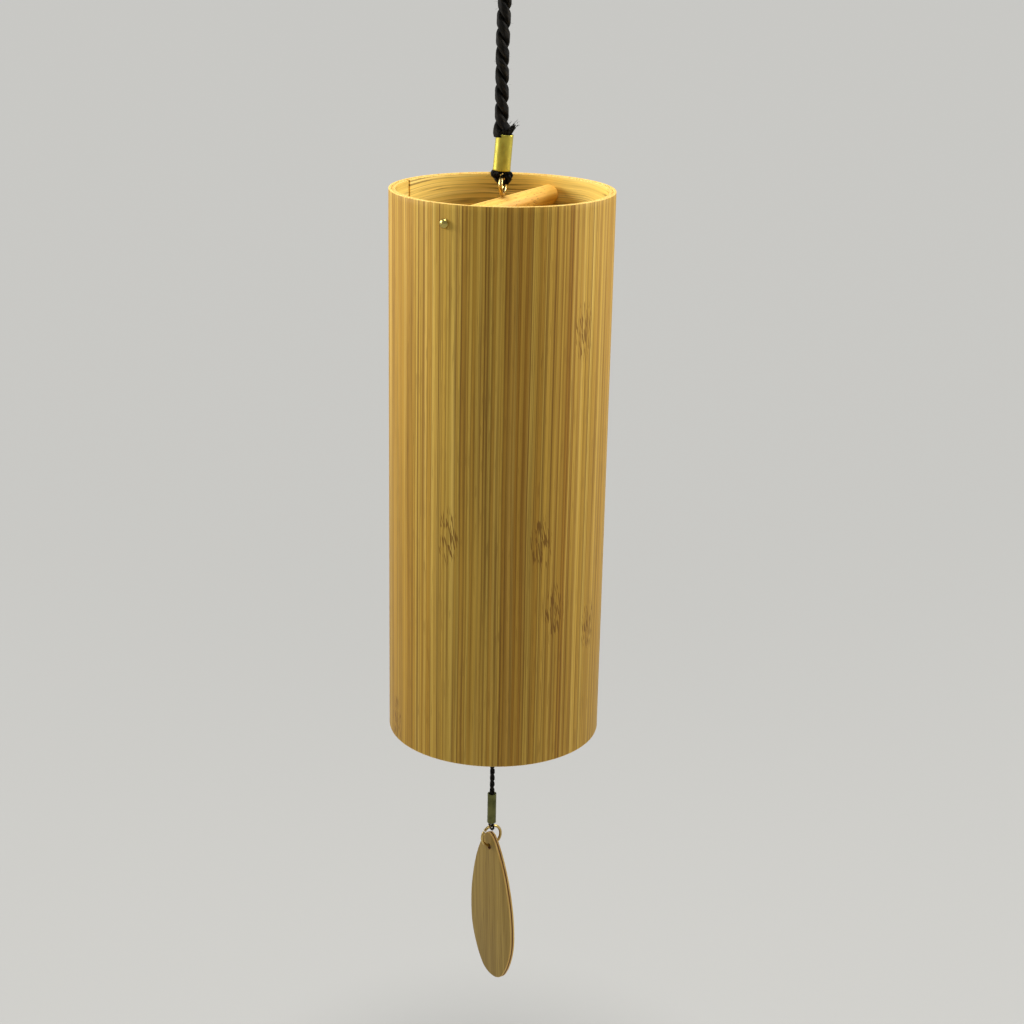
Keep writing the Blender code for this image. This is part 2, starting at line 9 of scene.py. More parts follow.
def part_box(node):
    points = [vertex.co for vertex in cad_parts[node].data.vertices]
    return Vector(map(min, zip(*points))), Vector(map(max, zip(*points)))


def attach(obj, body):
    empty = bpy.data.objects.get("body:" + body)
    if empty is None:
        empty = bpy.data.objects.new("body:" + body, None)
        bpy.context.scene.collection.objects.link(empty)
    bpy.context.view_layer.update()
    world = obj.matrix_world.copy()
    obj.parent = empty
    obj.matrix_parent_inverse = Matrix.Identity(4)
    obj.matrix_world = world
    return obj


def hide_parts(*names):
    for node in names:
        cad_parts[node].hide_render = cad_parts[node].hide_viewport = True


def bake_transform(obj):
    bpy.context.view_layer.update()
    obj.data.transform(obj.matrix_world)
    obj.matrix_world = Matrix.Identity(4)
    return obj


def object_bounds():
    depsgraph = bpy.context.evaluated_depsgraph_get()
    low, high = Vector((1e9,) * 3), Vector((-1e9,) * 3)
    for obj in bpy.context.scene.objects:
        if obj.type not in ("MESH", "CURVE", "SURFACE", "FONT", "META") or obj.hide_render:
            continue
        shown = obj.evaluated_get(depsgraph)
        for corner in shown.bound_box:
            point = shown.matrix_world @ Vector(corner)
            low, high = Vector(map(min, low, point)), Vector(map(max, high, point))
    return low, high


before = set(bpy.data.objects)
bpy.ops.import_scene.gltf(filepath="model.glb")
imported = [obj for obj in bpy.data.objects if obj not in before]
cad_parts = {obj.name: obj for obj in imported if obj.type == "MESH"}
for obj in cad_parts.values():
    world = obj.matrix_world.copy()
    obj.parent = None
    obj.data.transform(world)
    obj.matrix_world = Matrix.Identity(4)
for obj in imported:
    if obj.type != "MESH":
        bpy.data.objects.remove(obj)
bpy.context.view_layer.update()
mm = 0.001
up = Vector((0, 0, 1))
print("frame loaded:", len(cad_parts), "nodes")


# Camera, floor and lights

cameraSettings = {
    "place": (-0.45370, -0.24837, -0.01890),
    "heading": -61.80,    # degrees about Z from +Y
    "tilt": 18.69,        # degrees down
    "roll": 1.15,
    "lens": 64.5,
}
stageSettings = {
    "drop": 55 * mm,      # from the sail's tip down to the floor
    "reach": 14.0,        # the floor's radius
    "floorColour": "#B2B1AD",
    "skyColour": "#E2E4E6",
    "skyStrength": 0.42,
}
lightSettings = {         # metres, the rise is over the tube's middle
    "rise": 0.39, "away": 0.90, "wide": 0.45, "tall": 0.40,
    "lamps": (("lightLeft", -100, 3.25), ("lightRight", 100, 2.60)),    # turn from the camera, and watts
}
lightSpread = 70.0        # degrees, so that the side lights spill little on the floor
sunSettings = {"power": 3.05, "softness": 24.0}    # straight down, for the floor and the rim


def toLinear(hexColour):
    parts = [int(hexColour[i : i + 2], 16) / 255 for i in (1, 3, 5)]
    return [c / 12.92 if c <= 0.04045 else ((c + 0.055) / 1.055) ** 2.4 for c in parts] + [1.0]


def addNode(tree, kind, inputs=None, stops=None, out=0, **settings):
    # adds a node with its settings, values and links, and gives back one of its outputs
    node = tree.nodes.new("ShaderNode" + kind)
    for key, value in settings.items():
        setattr(node, key, value)
    for key, value in (inputs or {}).items():
        if isinstance(value, bpy.types.NodeSocket):
            tree.links.new(value, node.inputs[key])
        else:
            node.inputs[key].default_value = value
    if stops:             # a ramp's places and colours
        ramp = node.color_ramp.elements
        while len(ramp) < len(stops):
            ramp.new(1.0)
        for element, (place, colour) in zip(ramp, stops):
            element.position = place
            element.color = toLinear(colour) if isinstance(colour, str) else (colour, colour, colour, 1)
    return node.outputs[out]


def newMaterial(name, **shaderSettings):
    material = bpy.data.materials.new(name)
    material.use_nodes = True
    shader = material.node_tree.nodes["Principled BSDF"]
    for key, value in shaderSettings.items():
        socket = {
            "colour": "Base Color", "roughness": "Roughness", "metallic": "Metallic", "ior": "IOR",
            "transmission": "Transmission Weight", "specular": "Specular IOR Level",
        }[key]
        shader.inputs[socket].default_value = toLinear(value) if key == "colour" else value
    return material, material.node_tree, shader


def makeStage():
    low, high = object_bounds()
    floorHeight = low.z - stageSettings["drop"]
    bpy.ops.object.select_all(action="DESELECT")
    bpy.ops.mesh.primitive_circle_add(
        vertices=96, radius=stageSettings["reach"], fill_type="NGON", location=(0, 0, floorHeight)
    )
    floor = bpy.context.object
    floor.name = "floor"
    # matt paper sweep: no gloss, one soft tone
    paper = newMaterial("paper_sweep_matt", colour=stageSettings["floorColour"], roughness=0.9)[0]
    floor.data.materials.append(paper)

    world = bpy.data.worlds.new("softStudio")
    world.use_nodes = True
    sky = world.node_tree.nodes["Background"]
    sky.inputs["Color"].default_value = toLinear(stageSettings["skyColour"])
    sky.inputs["Strength"].default_value = stageSettings["skyStrength"]
    bpy.context.scene.world = world
    bpy.context.scene.view_settings.view_transform = "Standard"

    low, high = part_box("tube_veneer")
    middle = (low + high) / 2
    toCamera = math.radians(cameraSettings["heading"] + 180) + math.pi / 2
    light = lightSettings
    for name, turn, power in light["lamps"]:
        data = bpy.data.lights.new(name, "AREA")
        data.shape = "RECTANGLE"
        data.size, data.size_y = light["wide"], light["tall"]
        data.energy = power
        data.spread = math.radians(lightSpread)
        lamp = bpy.data.objects.new(name, data)
        bpy.context.collection.objects.link(lamp)
        angle = toCamera + math.radians(turn)
        side = Vector((math.cos(angle), math.sin(angle), 0))
        lamp.location = middle + side * light["away"] + up * light["rise"]
        lamp.rotation_euler = (-side).to_track_quat("-Z", "Y").to_euler()
    sun = bpy.data.lights.new("lightAbove", "SUN")
    sun.energy = sunSettings["power"]
    sun.angle = math.radians(sunSettings["softness"])
    bpy.context.collection.objects.link(bpy.data.objects.new("lightAbove", sun))


def makeCamera():
    data = bpy.data.cameras.new("camera")
    data.lens = cameraSettings["lens"]
    data.sensor_width = 36
    data.clip_start, data.clip_end = 0.01, 60
    camera = bpy.data.objects.new("camera", data)
    bpy.context.collection.objects.link(camera)
    camera.matrix_world = (
        Matrix.Translation(cameraSettings["place"])
        @ Matrix.Rotation(math.radians(cameraSettings["heading"]), 4, "Z")
        @ Matrix.Rotation(math.radians(90 - cameraSettings["tilt"]), 4, "X")
        @ Matrix.Rotation(math.radians(cameraSettings["roll"]), 4, "Z")
    )
    bpy.context.scene.camera = camera


makeCamera()
makeStage()
print("camera, floor and lights made")


# Materials


def dress(tree, shader, colour=None, gloss=None, height=None, strength=0.3, depth=0.05):
    # leads a colour, a roughness and a relief (its depth in mm) into the shader
    if colour is not None:
        tree.links.new(colour, shader.inputs["Base Color"])
    if gloss is not None:
        tree.links.new(gloss, shader.inputs["Roughness"])
    if height is not None:
        bump = addNode(tree, "Bump", {"Strength": strength, "Distance": depth * mm, "Height": height})
        tree.links.new(bump, shader.inputs["Normal"])


def specks(tree, perMetre, detail):
    # a fine noise through the piece, with its own number of specks a metre along each axis
    coords = addNode(tree, "TexCoord", out="Object")
    place = addNode(tree, "Mapping", {"Vector": coords, "Scale": perMetre})
    return addNode(tree, "TexNoise", {"Vector": place, "Scale": 1.0, "Detail": detail})


def streaks(tree, place, wide, tall, detail=2.0, rough=0.5):
    # noise drawn out over a flat map that is in mm
    drawn = addNode(tree, "VectorMath", {0: place, 1: (1 / wide, 1 / tall, 1)}, operation="MULTIPLY")
    return addNode(tree, "TexNoise", {"Vector": drawn, "Scale": 1.0, "Detail": detail, "Roughness": rough})


def grainMap(tree, wide, tall, sway, axis):
    # the piece's grain map in mm, and the same with its fibres swayed along one axis
    coords = addNode(tree, "UVMap", uv_map="grain")
    place = addNode(tree, "VectorMath", {0: coords, 1: (1000, 1000, 0)}, operation="MULTIPLY")
    slow = streaks(tree, place, wide, tall, 1.0)
    drift = addNode(tree, "MapRange", {"Value": slow, "To Min": -sway, "To Max": sway})
    shift = addNode(tree, "CombineXYZ", {axis: drift})
    return place, addNode(tree, "VectorMath", {0: place, 1: shift}, operation="ADD")


def bundleLines(tree, tone, width, strength, interpolation):
    # thin lines where a noise passes its middle value
    off = addNode(tree, "Math", {0: tone, 1: 0.5}, operation="SUBTRACT")
    gap = addNode(tree, "Math", {0: off}, operation="ABSOLUTE")
    return addNode(
        tree, "MapRange", {"Value": gap, "From Min": width, "From Max": 0.004, "To Max": strength},
        interpolation_type=interpolation,
    )


def makeVeneerMaterial():
    # Oiled bamboo veneer, sliced and pressed from strips: fine straight fibres, strips that differ in
    # tone with thin dark joints, and at each knuckle of the cane a flame of short dark dashes. Satin.
    s = veneerSettings
    material, tree, shader = newMaterial("bamboo_veneer_oiled", roughness=0.55, specular=0.16)
    place, moved = grainMap(tree, 16, 110, s["sway"], "X")      # in mm: across the grain, along it
    mask = None
    wide, tall = s["knuckleShape"]
    for azimuth, drop in s["knuckles"]:
        arc = math.radians((azimuth - s["seamAzimuth"]) % 360) * s["radius"] / mm
        centre = (arc, s["height"] / mm - drop, 0)
        away = addNode(tree, "VectorMath", {0: place, 1: centre}, operation="SUBTRACT")
        shape = addNode(tree, "VectorMath", {0: away, 1: (1 / wide, 1 / tall, 0)}, operation="MULTIPLY")
        far = addNode(tree, "VectorMath", {0: shape}, operation="LENGTH", out="Value")
        near = addNode(
            tree, "MapRange", {"Value": far, "From Min": 1.0, "From Max": 0.05},
            interpolation_type="SMOOTHSTEP",
        )
        pull = addNode(tree, "VectorMath", {0: away, 1: (-s["knucklePull"], 0, 0)}, operation="MULTIPLY")
        part = addNode(tree, "VectorMath", {0: pull, "Scale": near}, operation="SCALE")
        moved = addNode(tree, "VectorMath", {0: moved, 1: part}, operation="ADD")
        mask = addNode(tree, "Math", {0: mask, 1: near}, operation="MAXIMUM") if mask else near

    def uneven(spacing, width, shift):
        # lines along the grain at uneven distances, and a random tone for each space between them
        across = addNode(tree, "SeparateXYZ", {0: moved})
        count = addNode(tree, "Math", {0: across, 1: 1 / spacing, 2: shift}, operation="MULTIPLY_ADD")
        border, cell = (
            addNode(
                tree, "TexVoronoi", {"W": count, "Scale": 1.0}, out=out, feature=feature,
                voronoi_dimensions="1D",
            ) for feature, out in (("DISTANCE_TO_EDGE", "Distance"), ("F1", "Color"))
        )
        half = width / spacing
        line = addNode(
            tree, "MapRange", {"Value": border, "From Min": half, "From Max": 0.1 * half},
            interpolation_type="SMOOTHSTEP",
        )
        return line, cell

    joints, stripTone = uneven(s["strip"], s["joint"], 3.3)
    bundles, bundleTone = uneven(2.5, 0.36, 40.7)
    threads, threadTone = uneven(1.05, 0.27, 80.1)
    broad = streaks(tree, moved, 2.2, 260, 3.0)        # soft bands a few mm wide
    fine = streaks(tree, moved, 0.52, 150, 3.0, 0.65)  # fibres, coarser than real so that they show
    ticks = streaks(tree, moved, 0.42, 9.0, 1.0)       # short cut pores
    colour = addNode(
        tree, "ValToRGB", {0: broad},
        stops=[(0.30, "#C49D42"), (0.46, "#D6B04E"), (0.60, "#E0BB5A"), (0.74, "#EAC66A")],
    )
    for tone, low, amount in (
        (stripTone, "#DCC6A4", 0.34), (bundleTone, "#E0D0B0", 0.50), (threadTone, "#DCCBAA", 0.80),
    ):
        shade = addNode(
            tree, "ValToRGB", {0: tone}, stops=[(0.22, low), (0.55, "#F8F3E6"), (0.85, "#FFFFFF")]
        )
        colour = addNode(
            tree, "Mix", {0: amount, 6: colour, 7: shade}, data_type="RGBA", blend_type="MULTIPLY", out=2
        )
    fibreTone = addNode(tree, "ValToRGB", {0: fine}, stops=[(0.36, 0.56), (0.47, 0.90), (0.58, 1.0)])
    colour = addNode(
        tree, "Mix", {0: 0.80, 6: colour, 7: fibreTone}, data_type="RGBA", blend_type="MULTIPLY", out=2
    )
    fade, jointFade, tick = (
        addNode(tree, "ValToRGB", {0: noise}, stops=stops) for noise, stops in (
            (streaks(tree, moved, 3.2, 75), [(0.38, 0.30), (0.58, 1.0)]),
            (streaks(tree, moved, 9, 90), [(0.36, 0.45), (0.56, 1.0)]),
            (ticks, [(0.57, 0.0), (0.66, 1.0)]),
        )
    )
    darkest = None
    for line, strength, share in (
        (joints, 0.80, jointFade), (bundles, 0.66, fade), (threads, 0.44, fade), (tick, 0.34, fade),
    ):
        held = addNode(tree, "Math", {0: line, 1: share}, operation="MULTIPLY")
        held = addNode(tree, "Math", {0: held, 1: strength}, operation="MULTIPLY")
        darkest = addNode(tree, "Math", {0: darkest, 1: held}, operation="MAXIMUM") if darkest else held
    colour = addNode(tree, "Mix", {0: darkest, 6: colour, 7: toLinear("#6F4A1A")}, data_type="RGBA", out=2)

    # the flames at the knuckles: short leaning dashes, close together in the middle and few at the edges
    leaning = addNode(
        tree, "VectorRotate", {"Vector": place, "Angle": math.radians(-8)}, rotation_type="Z_AXIS"
    )
    dashes = streaks(tree, leaning, 0.42, 4.6, 1.0)
    crowd = addNode(tree, "Math", {0: mask, 1: 0.095, 2: dashes}, operation="MULTIPLY_ADD")
    dash = addNode(tree, "ValToRGB", {0: crowd}, stops=[(0.585, 0.0), (0.645, 1.0)])
    inside = addNode(tree, "ValToRGB", {0: mask}, stops=[(0.02, 0.0), (0.22, 1.0)])
    flame = addNode(tree, "Math", {0: dash, 1: inside}, operation="MULTIPLY")
    flame = addNode(tree, "Math", {0: flame, 1: 0.88}, operation="MULTIPLY")
    colour = addNode(tree, "Mix", {0: flame, 6: colour, 7: toLinear("#7A531C")}, data_type="RGBA", out=2)
    gloss = addNode(tree, "MapRange", {"Value": fine, "To Min": 0.48, "To Max": 0.66})
    height = addNode(tree, "Math", {0: fine, 1: darkest}, operation="SUBTRACT")
    dress(tree, shader, colour, gloss, height, 0.30)
    return material


def makeLiningMaterial():
    # The same bamboo turned sideways inside the tube, left duller: its fibres run round in slow waves.
    material, tree, shader = newMaterial("bamboo_lining_bare", roughness=0.65, specular=0.15)
    moved = grainMap(tree, 34, 14, 2.2, "Y")[1]
    broad = streaks(tree, moved, 150, 2.6)
    fine = streaks(tree, moved, 80, 0.5, 3.0)
    bundles = streaks(tree, moved, 120, 1.25, 1.0)
    lines = bundleLines(tree, bundles, 0.045, 1.0, "SMOOTHSTEP")
    patches = streaks(tree, moved, 22, 5)
    fade = addNode(tree, "ValToRGB", {0: patches}, stops=[(0.42, 0.1), (0.62, 1.0)])
    lines = addNode(tree, "Math", {0: lines, 1: fade}, operation="MULTIPLY")
    base = addNode(
        tree, "ValToRGB", {0: broad}, stops=[(0.34, "#E6BE58"), (0.52, "#F3CE66"), (0.68, "#FAD97A")]
    )
    fibreTone = addNode(tree, "ValToRGB", {0: fine}, stops=[(0.36, 0.70), (0.58, 1.0)])
    colour = addNode(
        tree, "Mix", {0: 0.6, 6: base, 7: fibreTone}, data_type="RGBA", blend_type="MULTIPLY", out=2
    )
    amount = addNode(tree, "Math", {0: lines, 1: 0.72}, operation="MULTIPLY")
    colour = addNode(tree, "Mix", {0: amount, 6: colour, 7: toLinear("#6E5220")}, data_type="RGBA", out=2)
    dress(tree, shader, colour, height=fine, strength=0.35, depth=0.06)
    return material


def makeEdgeMaterial():
    # Cut edge of the veneer: end grain sanded smooth, so it is paler than the face and lightly speckled.
    material, tree, shader = newMaterial("bamboo_edge_sanded", roughness=0.6, specular=0.2)
    pores = specks(tree, (2200, 2200, 400), 2.0)
    colour = addNode(
        tree, "ValToRGB", {0: pores}, stops=[(0.32, "#BE8F3E"), (0.48, "#E2B75C"), (0.66, "#F0CB78")]
    )
    dress(tree, shader, colour)
    return material


def makeSailMaterial(name, light, dark, lineTone):
    # Sanded veneer of the sail: grain down its length, with a soft satin oil.
    material, tree, shader = newMaterial(name, roughness=0.55, specular=0.2)
    moved = grainMap(tree, 8, 26, 0.9, "X")[1]
    broad, fine, bundles = (streaks(tree, moved, *size) for size in ((2.2, 70), (0.55, 40), (1.0, 60)))
    base = addNode(tree, "ValToRGB", {0: broad}, stops=[(0.32, dark), (0.66, light)])
    fibreTone = addNode(tree, "ValToRGB", {0: fine}, stops=[(0.36, 0.72), (0.56, 1.0)])
    colour = addNode(
        tree, "Mix", {0: 0.6, 6: base, 7: fibreTone}, data_type="RGBA", blend_type="MULTIPLY", out=2
    )
    lines = bundleLines(tree, bundles, 0.03, 0.5, "LINEAR")
    colour = addNode(tree, "Mix", {0: lines, 6: colour, 7: toLinear(lineTone)}, data_type="RGBA", out=2)
    dress(tree, shader, colour, height=fine, depth=0.04)
    return material


def makeBeechMaterial():
    # Turned beech: pale straw colour with the short brown flecks that beech shows, grain along the dowel.
    material, tree, shader = newMaterial("beech_turned", roughness=0.5, specular=0.25)
    tone = specks(tree, (28, 900, 900), 3.0)
    fleck = specks(tree, (520, 2600, 2600), 1.0)
    base = addNode(
        tree, "ValToRGB", {0: tone}, stops=[(0.30, "#D79F42"), (0.50, "#EAB552"), (0.70, "#F4C76A")]
    )
    spots = addNode(tree, "ValToRGB", {0: fleck}, stops=[(0.64, 0.0), (0.70, 0.65)])
    colour = addNode(tree, "Mix", {0: spots, 6: base, 7: toLinear("#7C4A1C")}, data_type="RGBA", out=2)
    dress(tree, shader, colour, height=tone, strength=0.25)
    return material


def makeBrassMaterial(name, bright, dull, roughness, wear):
    # Drawn or turned brass: faint rings from the tool, and a patchy tarnish that dulls the polish.
    material, tree, shader = newMaterial(name, colour=bright, metallic=1.0, roughness=roughness)
    patches = specks(tree, (420, 420, 300), 4.0)
    amount = addNode(tree, "ValToRGB", {0: patches}, stops=[(0.42, 0.0), (0.68, wear)])
    colour = addNode(
        tree, "Mix", {0: amount, 6: toLinear(bright), 7: toLinear(dull)}, data_type="RGBA", out=2
    )
    gloss = addNode(
        tree, "MapRange",
        {"Value": patches, "From Min": 0.3, "From Max": 0.7, "To Min": roughness * 0.8,
         "To Max": roughness * 1.5},
    )
    toolMarks = specks(tree, (40, 40, 5400), 2.0)
    dress(tree, shader, colour, gloss, toolMarks, 0.18, 0.02)
    return material


def makeCordMaterial():
    # Twisted polyester cord, dyed black: dull, with painted brown-olive highlights on single fibres, light
    # put into the colour.
    material, tree, shader = newMaterial("black_cord_twisted", roughness=0.8, specular=0.14)
    coords = addNode(tree, "UVMap", uv_map="strand")
    place = addNode(
        tree, "VectorMath", {0: coords, 1: (1000 / 0.16, 1000 / 2.2, 0)}, operation="MULTIPLY"
    )                                      # fibres drawn 0.16 mm wide, coarser than real, so that they show
    fibresAndHighlights = addNode(
        tree, "TexNoise",
        {"Vector": place, "Scale": 1.0, "Detail": 3.0, "Roughness": 0.65, "Distortion": 0.4},
    )
    # the two lightest stops are painted highlights on the fibres, not the dye's colour
    colour = addNode(
        tree, "ValToRGB", {0: fibresAndHighlights},
        stops=[(0.40, "#060605"), (0.52, "#0F0D0A"), (0.60, "#221D14"), (0.74, "#4E432C")],
    )
    dress(tree, shader, colour, height=fibresAndHighlights, strength=0.7, depth=0.09)
    return material


def makeAcrylicMaterial():
    # Clear cast acrylic, cut and polished: glassy, with fine scuffs where it meets the rods.
    material, tree, shader = newMaterial(
        "acrylic_clear_cut", colour="#F4F8F8", roughness=0.05, ior=1.49, transmission=1.0
    )
    scuffs = specks(tree, (700, 700, 700), 5.0)
    gloss = addNode(
        tree, "MapRange",
        {"Value": scuffs, "From Min": 0.45, "From Max": 0.75, "To Min": 0.03, "To Max": 0.28},
    )
    dress(tree, shader, gloss=gloss)
    return material


def makeSteelMaterial(name, bright, perMetre, relief):
    # Ground and drawn steel: fine scratches along one way, and a cool even shine.
    material, tree, shader = newMaterial(name, colour=bright, metallic=1.0, roughness=0.24)
    scratches = specks(tree, perMetre, 4.0)
    gloss = addNode(
        tree, "MapRange",
        {"Value": scratches, "From Min": 0.3, "From Max": 0.7, "To Min": 0.22, "To Max": 0.22 + relief},
    )
    colour = addNode(tree, "ValToRGB", {0: scratches}, stops=[(0.25, "#B4B8BB"), (0.55, bright)])
    dress(tree, shader, colour, gloss, scratches, relief, 0.01)
    return material


def makeSolderMaterial():
    # Soft solder that flowed and froze: silver grey with a dull frosted skin.
    material, tree, shader = newMaterial("solder_frozen", colour="#B9B8B2", metallic=1.0, roughness=0.38)
    frost = specks(tree, (1500, 1500, 1500), 3.0)
    gloss = addNode(tree, "MapRange", {"Value": frost, "To Min": 0.2, "To Max": 0.6})
    dress(tree, shader, gloss=gloss, height=frost, strength=0.4)
    return material


veneerSettings = {
    "radius": 32.0 * mm,
    "height": 164.0 * mm,
    "wall": 0.85 * mm,
    "sides": 192,
    "edgeRound": 0.14 * mm,
    "seamAzimuth": 28.0,      # degrees: the far side
    "seamWidth": 0.16 * mm,
    "seamDepth": 0.22 * mm,
    "strip": 7.0,             # mm, a usual strip of the cane
    "joint": 0.34,            # mm, a dark joint's half width
    "sway": 0.50,             # mm that a fibre strays from a straight line
    "knuckleShape": (4.4, 10.5),       # mm, half of a knuckle's flame across and along the grain
    "knucklePull": 0.16,      # how far the fibres close in round it
    "knuckles": [(183.5, 94), (231.8, 95.5), (255.2, 35.5), (267.1, 125), (240.9, 116.5), (143.5, 158)],
}                             # each knuckle's azimuth in degrees and its depth under the rim in mm

cordBlack = makeCordMaterial()
veneerWood = makeVeneerMaterial()
liningWood = makeLiningMaterial()
edgeWood = makeEdgeMaterial()
beechWood = makeBeechMaterial()
sailFace = makeSailMaterial("bamboo_sail_face", "#AA8D47", "#8F7335", "#6E5424")
sailCore = makeSailMaterial("bamboo_sail_core", "#74401C", "#4A2711", "#30190B")
sailEdge = makeSailMaterial("bamboo_sail_edge", "#ECC672", "#CC9A4C", "#8A5C2A")
brassBright = makeBrassMaterial("brass_drawn_bright", "#BCAE4A", "#8E8234", 0.34, 0.5)
brassDull = makeBrassMaterial("brass_drawn_tarnished", "#67673E", "#3E4023", 0.30, 0.7)
brassWire = makeBrassMaterial("brass_wire_bent", "#CDB06C", "#86693A", 0.26, 0.6)
nailBrass = makeBrassMaterial("brass_nail_tarnished", "#B9A65C", "#5E5026", 0.28, 0.8)
steelBright = makeSteelMaterial("steel_drawn_bright", "#D3D6D9", (2600, 2600, 60), 0.18)
steelPlate = makeSteelMaterial("steel_plate_ground", "#C6C9CC", (180, 6200, 900), 0.09)
solderGrey = makeSolderMaterial()
acrylicClear = makeAcrylicMaterial()
print("materials made")


# Small helpers for modelling


def boxOf(node):
    low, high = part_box(node)
    return low, high, (low + high) / 2, high - low


def toEdit():
    bpy.ops.object.mode_set(mode="EDIT")


def toObject():
    bpy.ops.object.mode_set(mode="OBJECT")


def activate(piece):
    if bpy.context.mode != "OBJECT":
        toObject()
    bpy.ops.object.select_all(action="DESELECT")
    piece.select_set(True)
    bpy.context.view_layer.objects.active = piece


def selectAll():
    bpy.ops.mesh.select_all(action="SELECT")


def faceOut():
    selectAll()
    bpy.ops.mesh.normals_make_consistent(inside=False)


def sliceAt(distance, way=up):
    # new edges where a plane crosses the mesh
    selectAll()
    bpy.ops.mesh.bisect(plane_co=way * distance, plane_no=way)


def bevel(width, segments):
    bpy.ops.mesh.bevel(offset=width, segments=segments, affect="EDGES")


def scaleBy(*factors):
    bpy.ops.transform.resize(value=factors, center_override=(0, 0, 0))


def turned(degrees, axis="Z", size=4):
    return Matrix.Rotation(math.radians(degrees), size, axis)


def level(a, b):
    # whether an edge lies flat
    return abs(a.z - b.z) < 1e-6


def startWith(name, add, **settings):
    # a primitive of its own, in edit mode with all of it selected
    bpy.ops.object.select_all(action="DESELECT")
    add(**settings)
    piece = bpy.context.object
    piece.name = name
    piece.data.name = name
    bpy.ops.object.transform_apply(location=True, rotation=True, scale=True)
    toEdit()
    selectAll()
    return piece


def pick(piece, kind, test):
    # selects the verts, edges or faces whose middle (and normal, for a face) passes the test
    bpy.ops.mesh.select_mode(type=kind)
    bpy.ops.mesh.select_all(action="DESELECT")
    shape = bmesh.from_edit_mesh(piece.data)
    chosen = {"VERT": shape.verts, "EDGE": shape.edges, "FACE": shape.faces}[kind]
    for item in chosen:
        if kind == "VERT":
            found = test(item.co)
        elif kind == "EDGE":
            found = test(item.verts[0].co, item.verts[1].co)
        else:
            found = test(item.calc_center_median(), item.normal)
        if found:
            item.select_set(True)
    shape.select_flush_mode()
    bmesh.update_edit_mesh(piece.data)


def applyModifier(piece, kind, **settings):
    modifier = piece.modifiers.new(kind.lower(), kind)
    for key, value in settings.items():
        setattr(modifier, key, value)
    bpy.context.view_layer.objects.active = piece
    bpy.ops.object.modifier_apply(modifier=modifier.name)


def finishPiece(piece, angle=40):
    activate(piece)
    bpy.ops.object.shade_smooth_by_angle(angle=math.radians(angle))


def place(piece, material, body, slot, *nodes):
    if not piece.data.materials:
        piece.data.materials.append(material)
    if nodes:
        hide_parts(*nodes)
    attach(piece, body)


def drill(piece, radius, centre, rotation, depth, sides=24):
    # cuts a round hole with a cylinder, which is then removed
    bpy.ops.object.select_all(action="DESELECT")
    bpy.ops.mesh.primitive_cylinder_add(
        vertices=sides, radius=radius, depth=depth, location=centre, rotation=rotation
    )
    cutter = bpy.context.object
    applyModifier(piece, "BOOLEAN", operation="DIFFERENCE", object=cutter)
    bpy.data.objects.remove(cutter)


def moveMesh(piece, matrix):
    piece.data.transform(matrix)
    piece.data.update()


def copyPiece(first, name):
    piece = first.copy()
    piece.data = first.data.copy()
    piece.name = piece.data.name = name
    bpy.context.collection.objects.link(piece)
    return piece


# Cords


def smoothRoute(points, step):
    # points about one step apart on a smooth curve through the given ones
    points = [Vector(p) for p in points]
    ends = [2 * points[0] - points[1], *points, 2 * points[-1] - points[-2]]
    route = []
    for before, start, end, after in zip(ends, ends[1:], ends[2:], ends[3:]):
        count = max(1, round((end - start).length / step))
        for i in range(count):
            t = i / count
            route.append(
                0.5 * (2 * start + (end - before) * t)
                + 0.5 * (2 * before - 5 * start + 4 * end - after) * t * t
                + 0.5 * (3 * start - before - 3 * end + after) * t**3
            )
    return route + [points[-1]]


def lengthOf(route):
    return sum((b - a).length for a, b in zip(route, route[1:]))


def framesAlong(route, side):
    # a side and a cross direction at each point, carried along without twisting
    frames = []
    for i in range(len(route)):
        tangent = (route[min(i + 1, len(route) - 1)] - route[max(i - 1, 0)]).normalized()
        side = (side - tangent * side.dot(tangent)).normalized()
        frames.append((side.copy(), tangent.cross(side)))
    return frames


def strandMesh(name, strands):
    # Strands are lists of rings of points, each ring with how far along it lies. Their ends are closed.
    verts, faces, uvs = [], [], []
    for rings in strands:
        first, sides = len(verts), len(rings[0][0])
        for ring in rings:
            verts += ring[0]
        girth = sum((a - b).length for a, b in zip(rings[0][0], rings[0][0][1:] + rings[0][0][:1]))
        for i in range(len(rings) - 1):
            for j in range(sides):
                k = (j + 1) % sides
                a, b = first + i * sides, first + (i + 1) * sides
                faces.append((a + j, a + k, b + k, b + j))
                left, right = girth * j / sides, girth * (j + 1) / sides
                low, high = rings[i][1], rings[i + 1][1]
                uvs += [(left, low), (right, low), (right, high), (left, high)]
        last = first + (len(rings) - 1) * sides
        faces.append(tuple(first + j for j in reversed(range(sides))))
        faces.append(tuple(last + j for j in range(sides)))
        uvs += [(0.0, rings[0][1])] * sides + [(0.0, rings[-1][1])] * sides
    mesh = bpy.data.meshes.new(name)
    mesh.from_pydata(verts, [], faces)
    layer = mesh.uv_layers.new(name="strand")
    for item, uv in zip(layer.data, uvs):
        item.uv = uv
    mesh.materials.append(cordBlack)
    piece = bpy.data.objects.new(name, mesh)
    bpy.context.collection.objects.link(piece)
    activate(piece)
    toEdit()
    faceOut()
    toObject()
    bpy.ops.object.shade_smooth()
    return piece


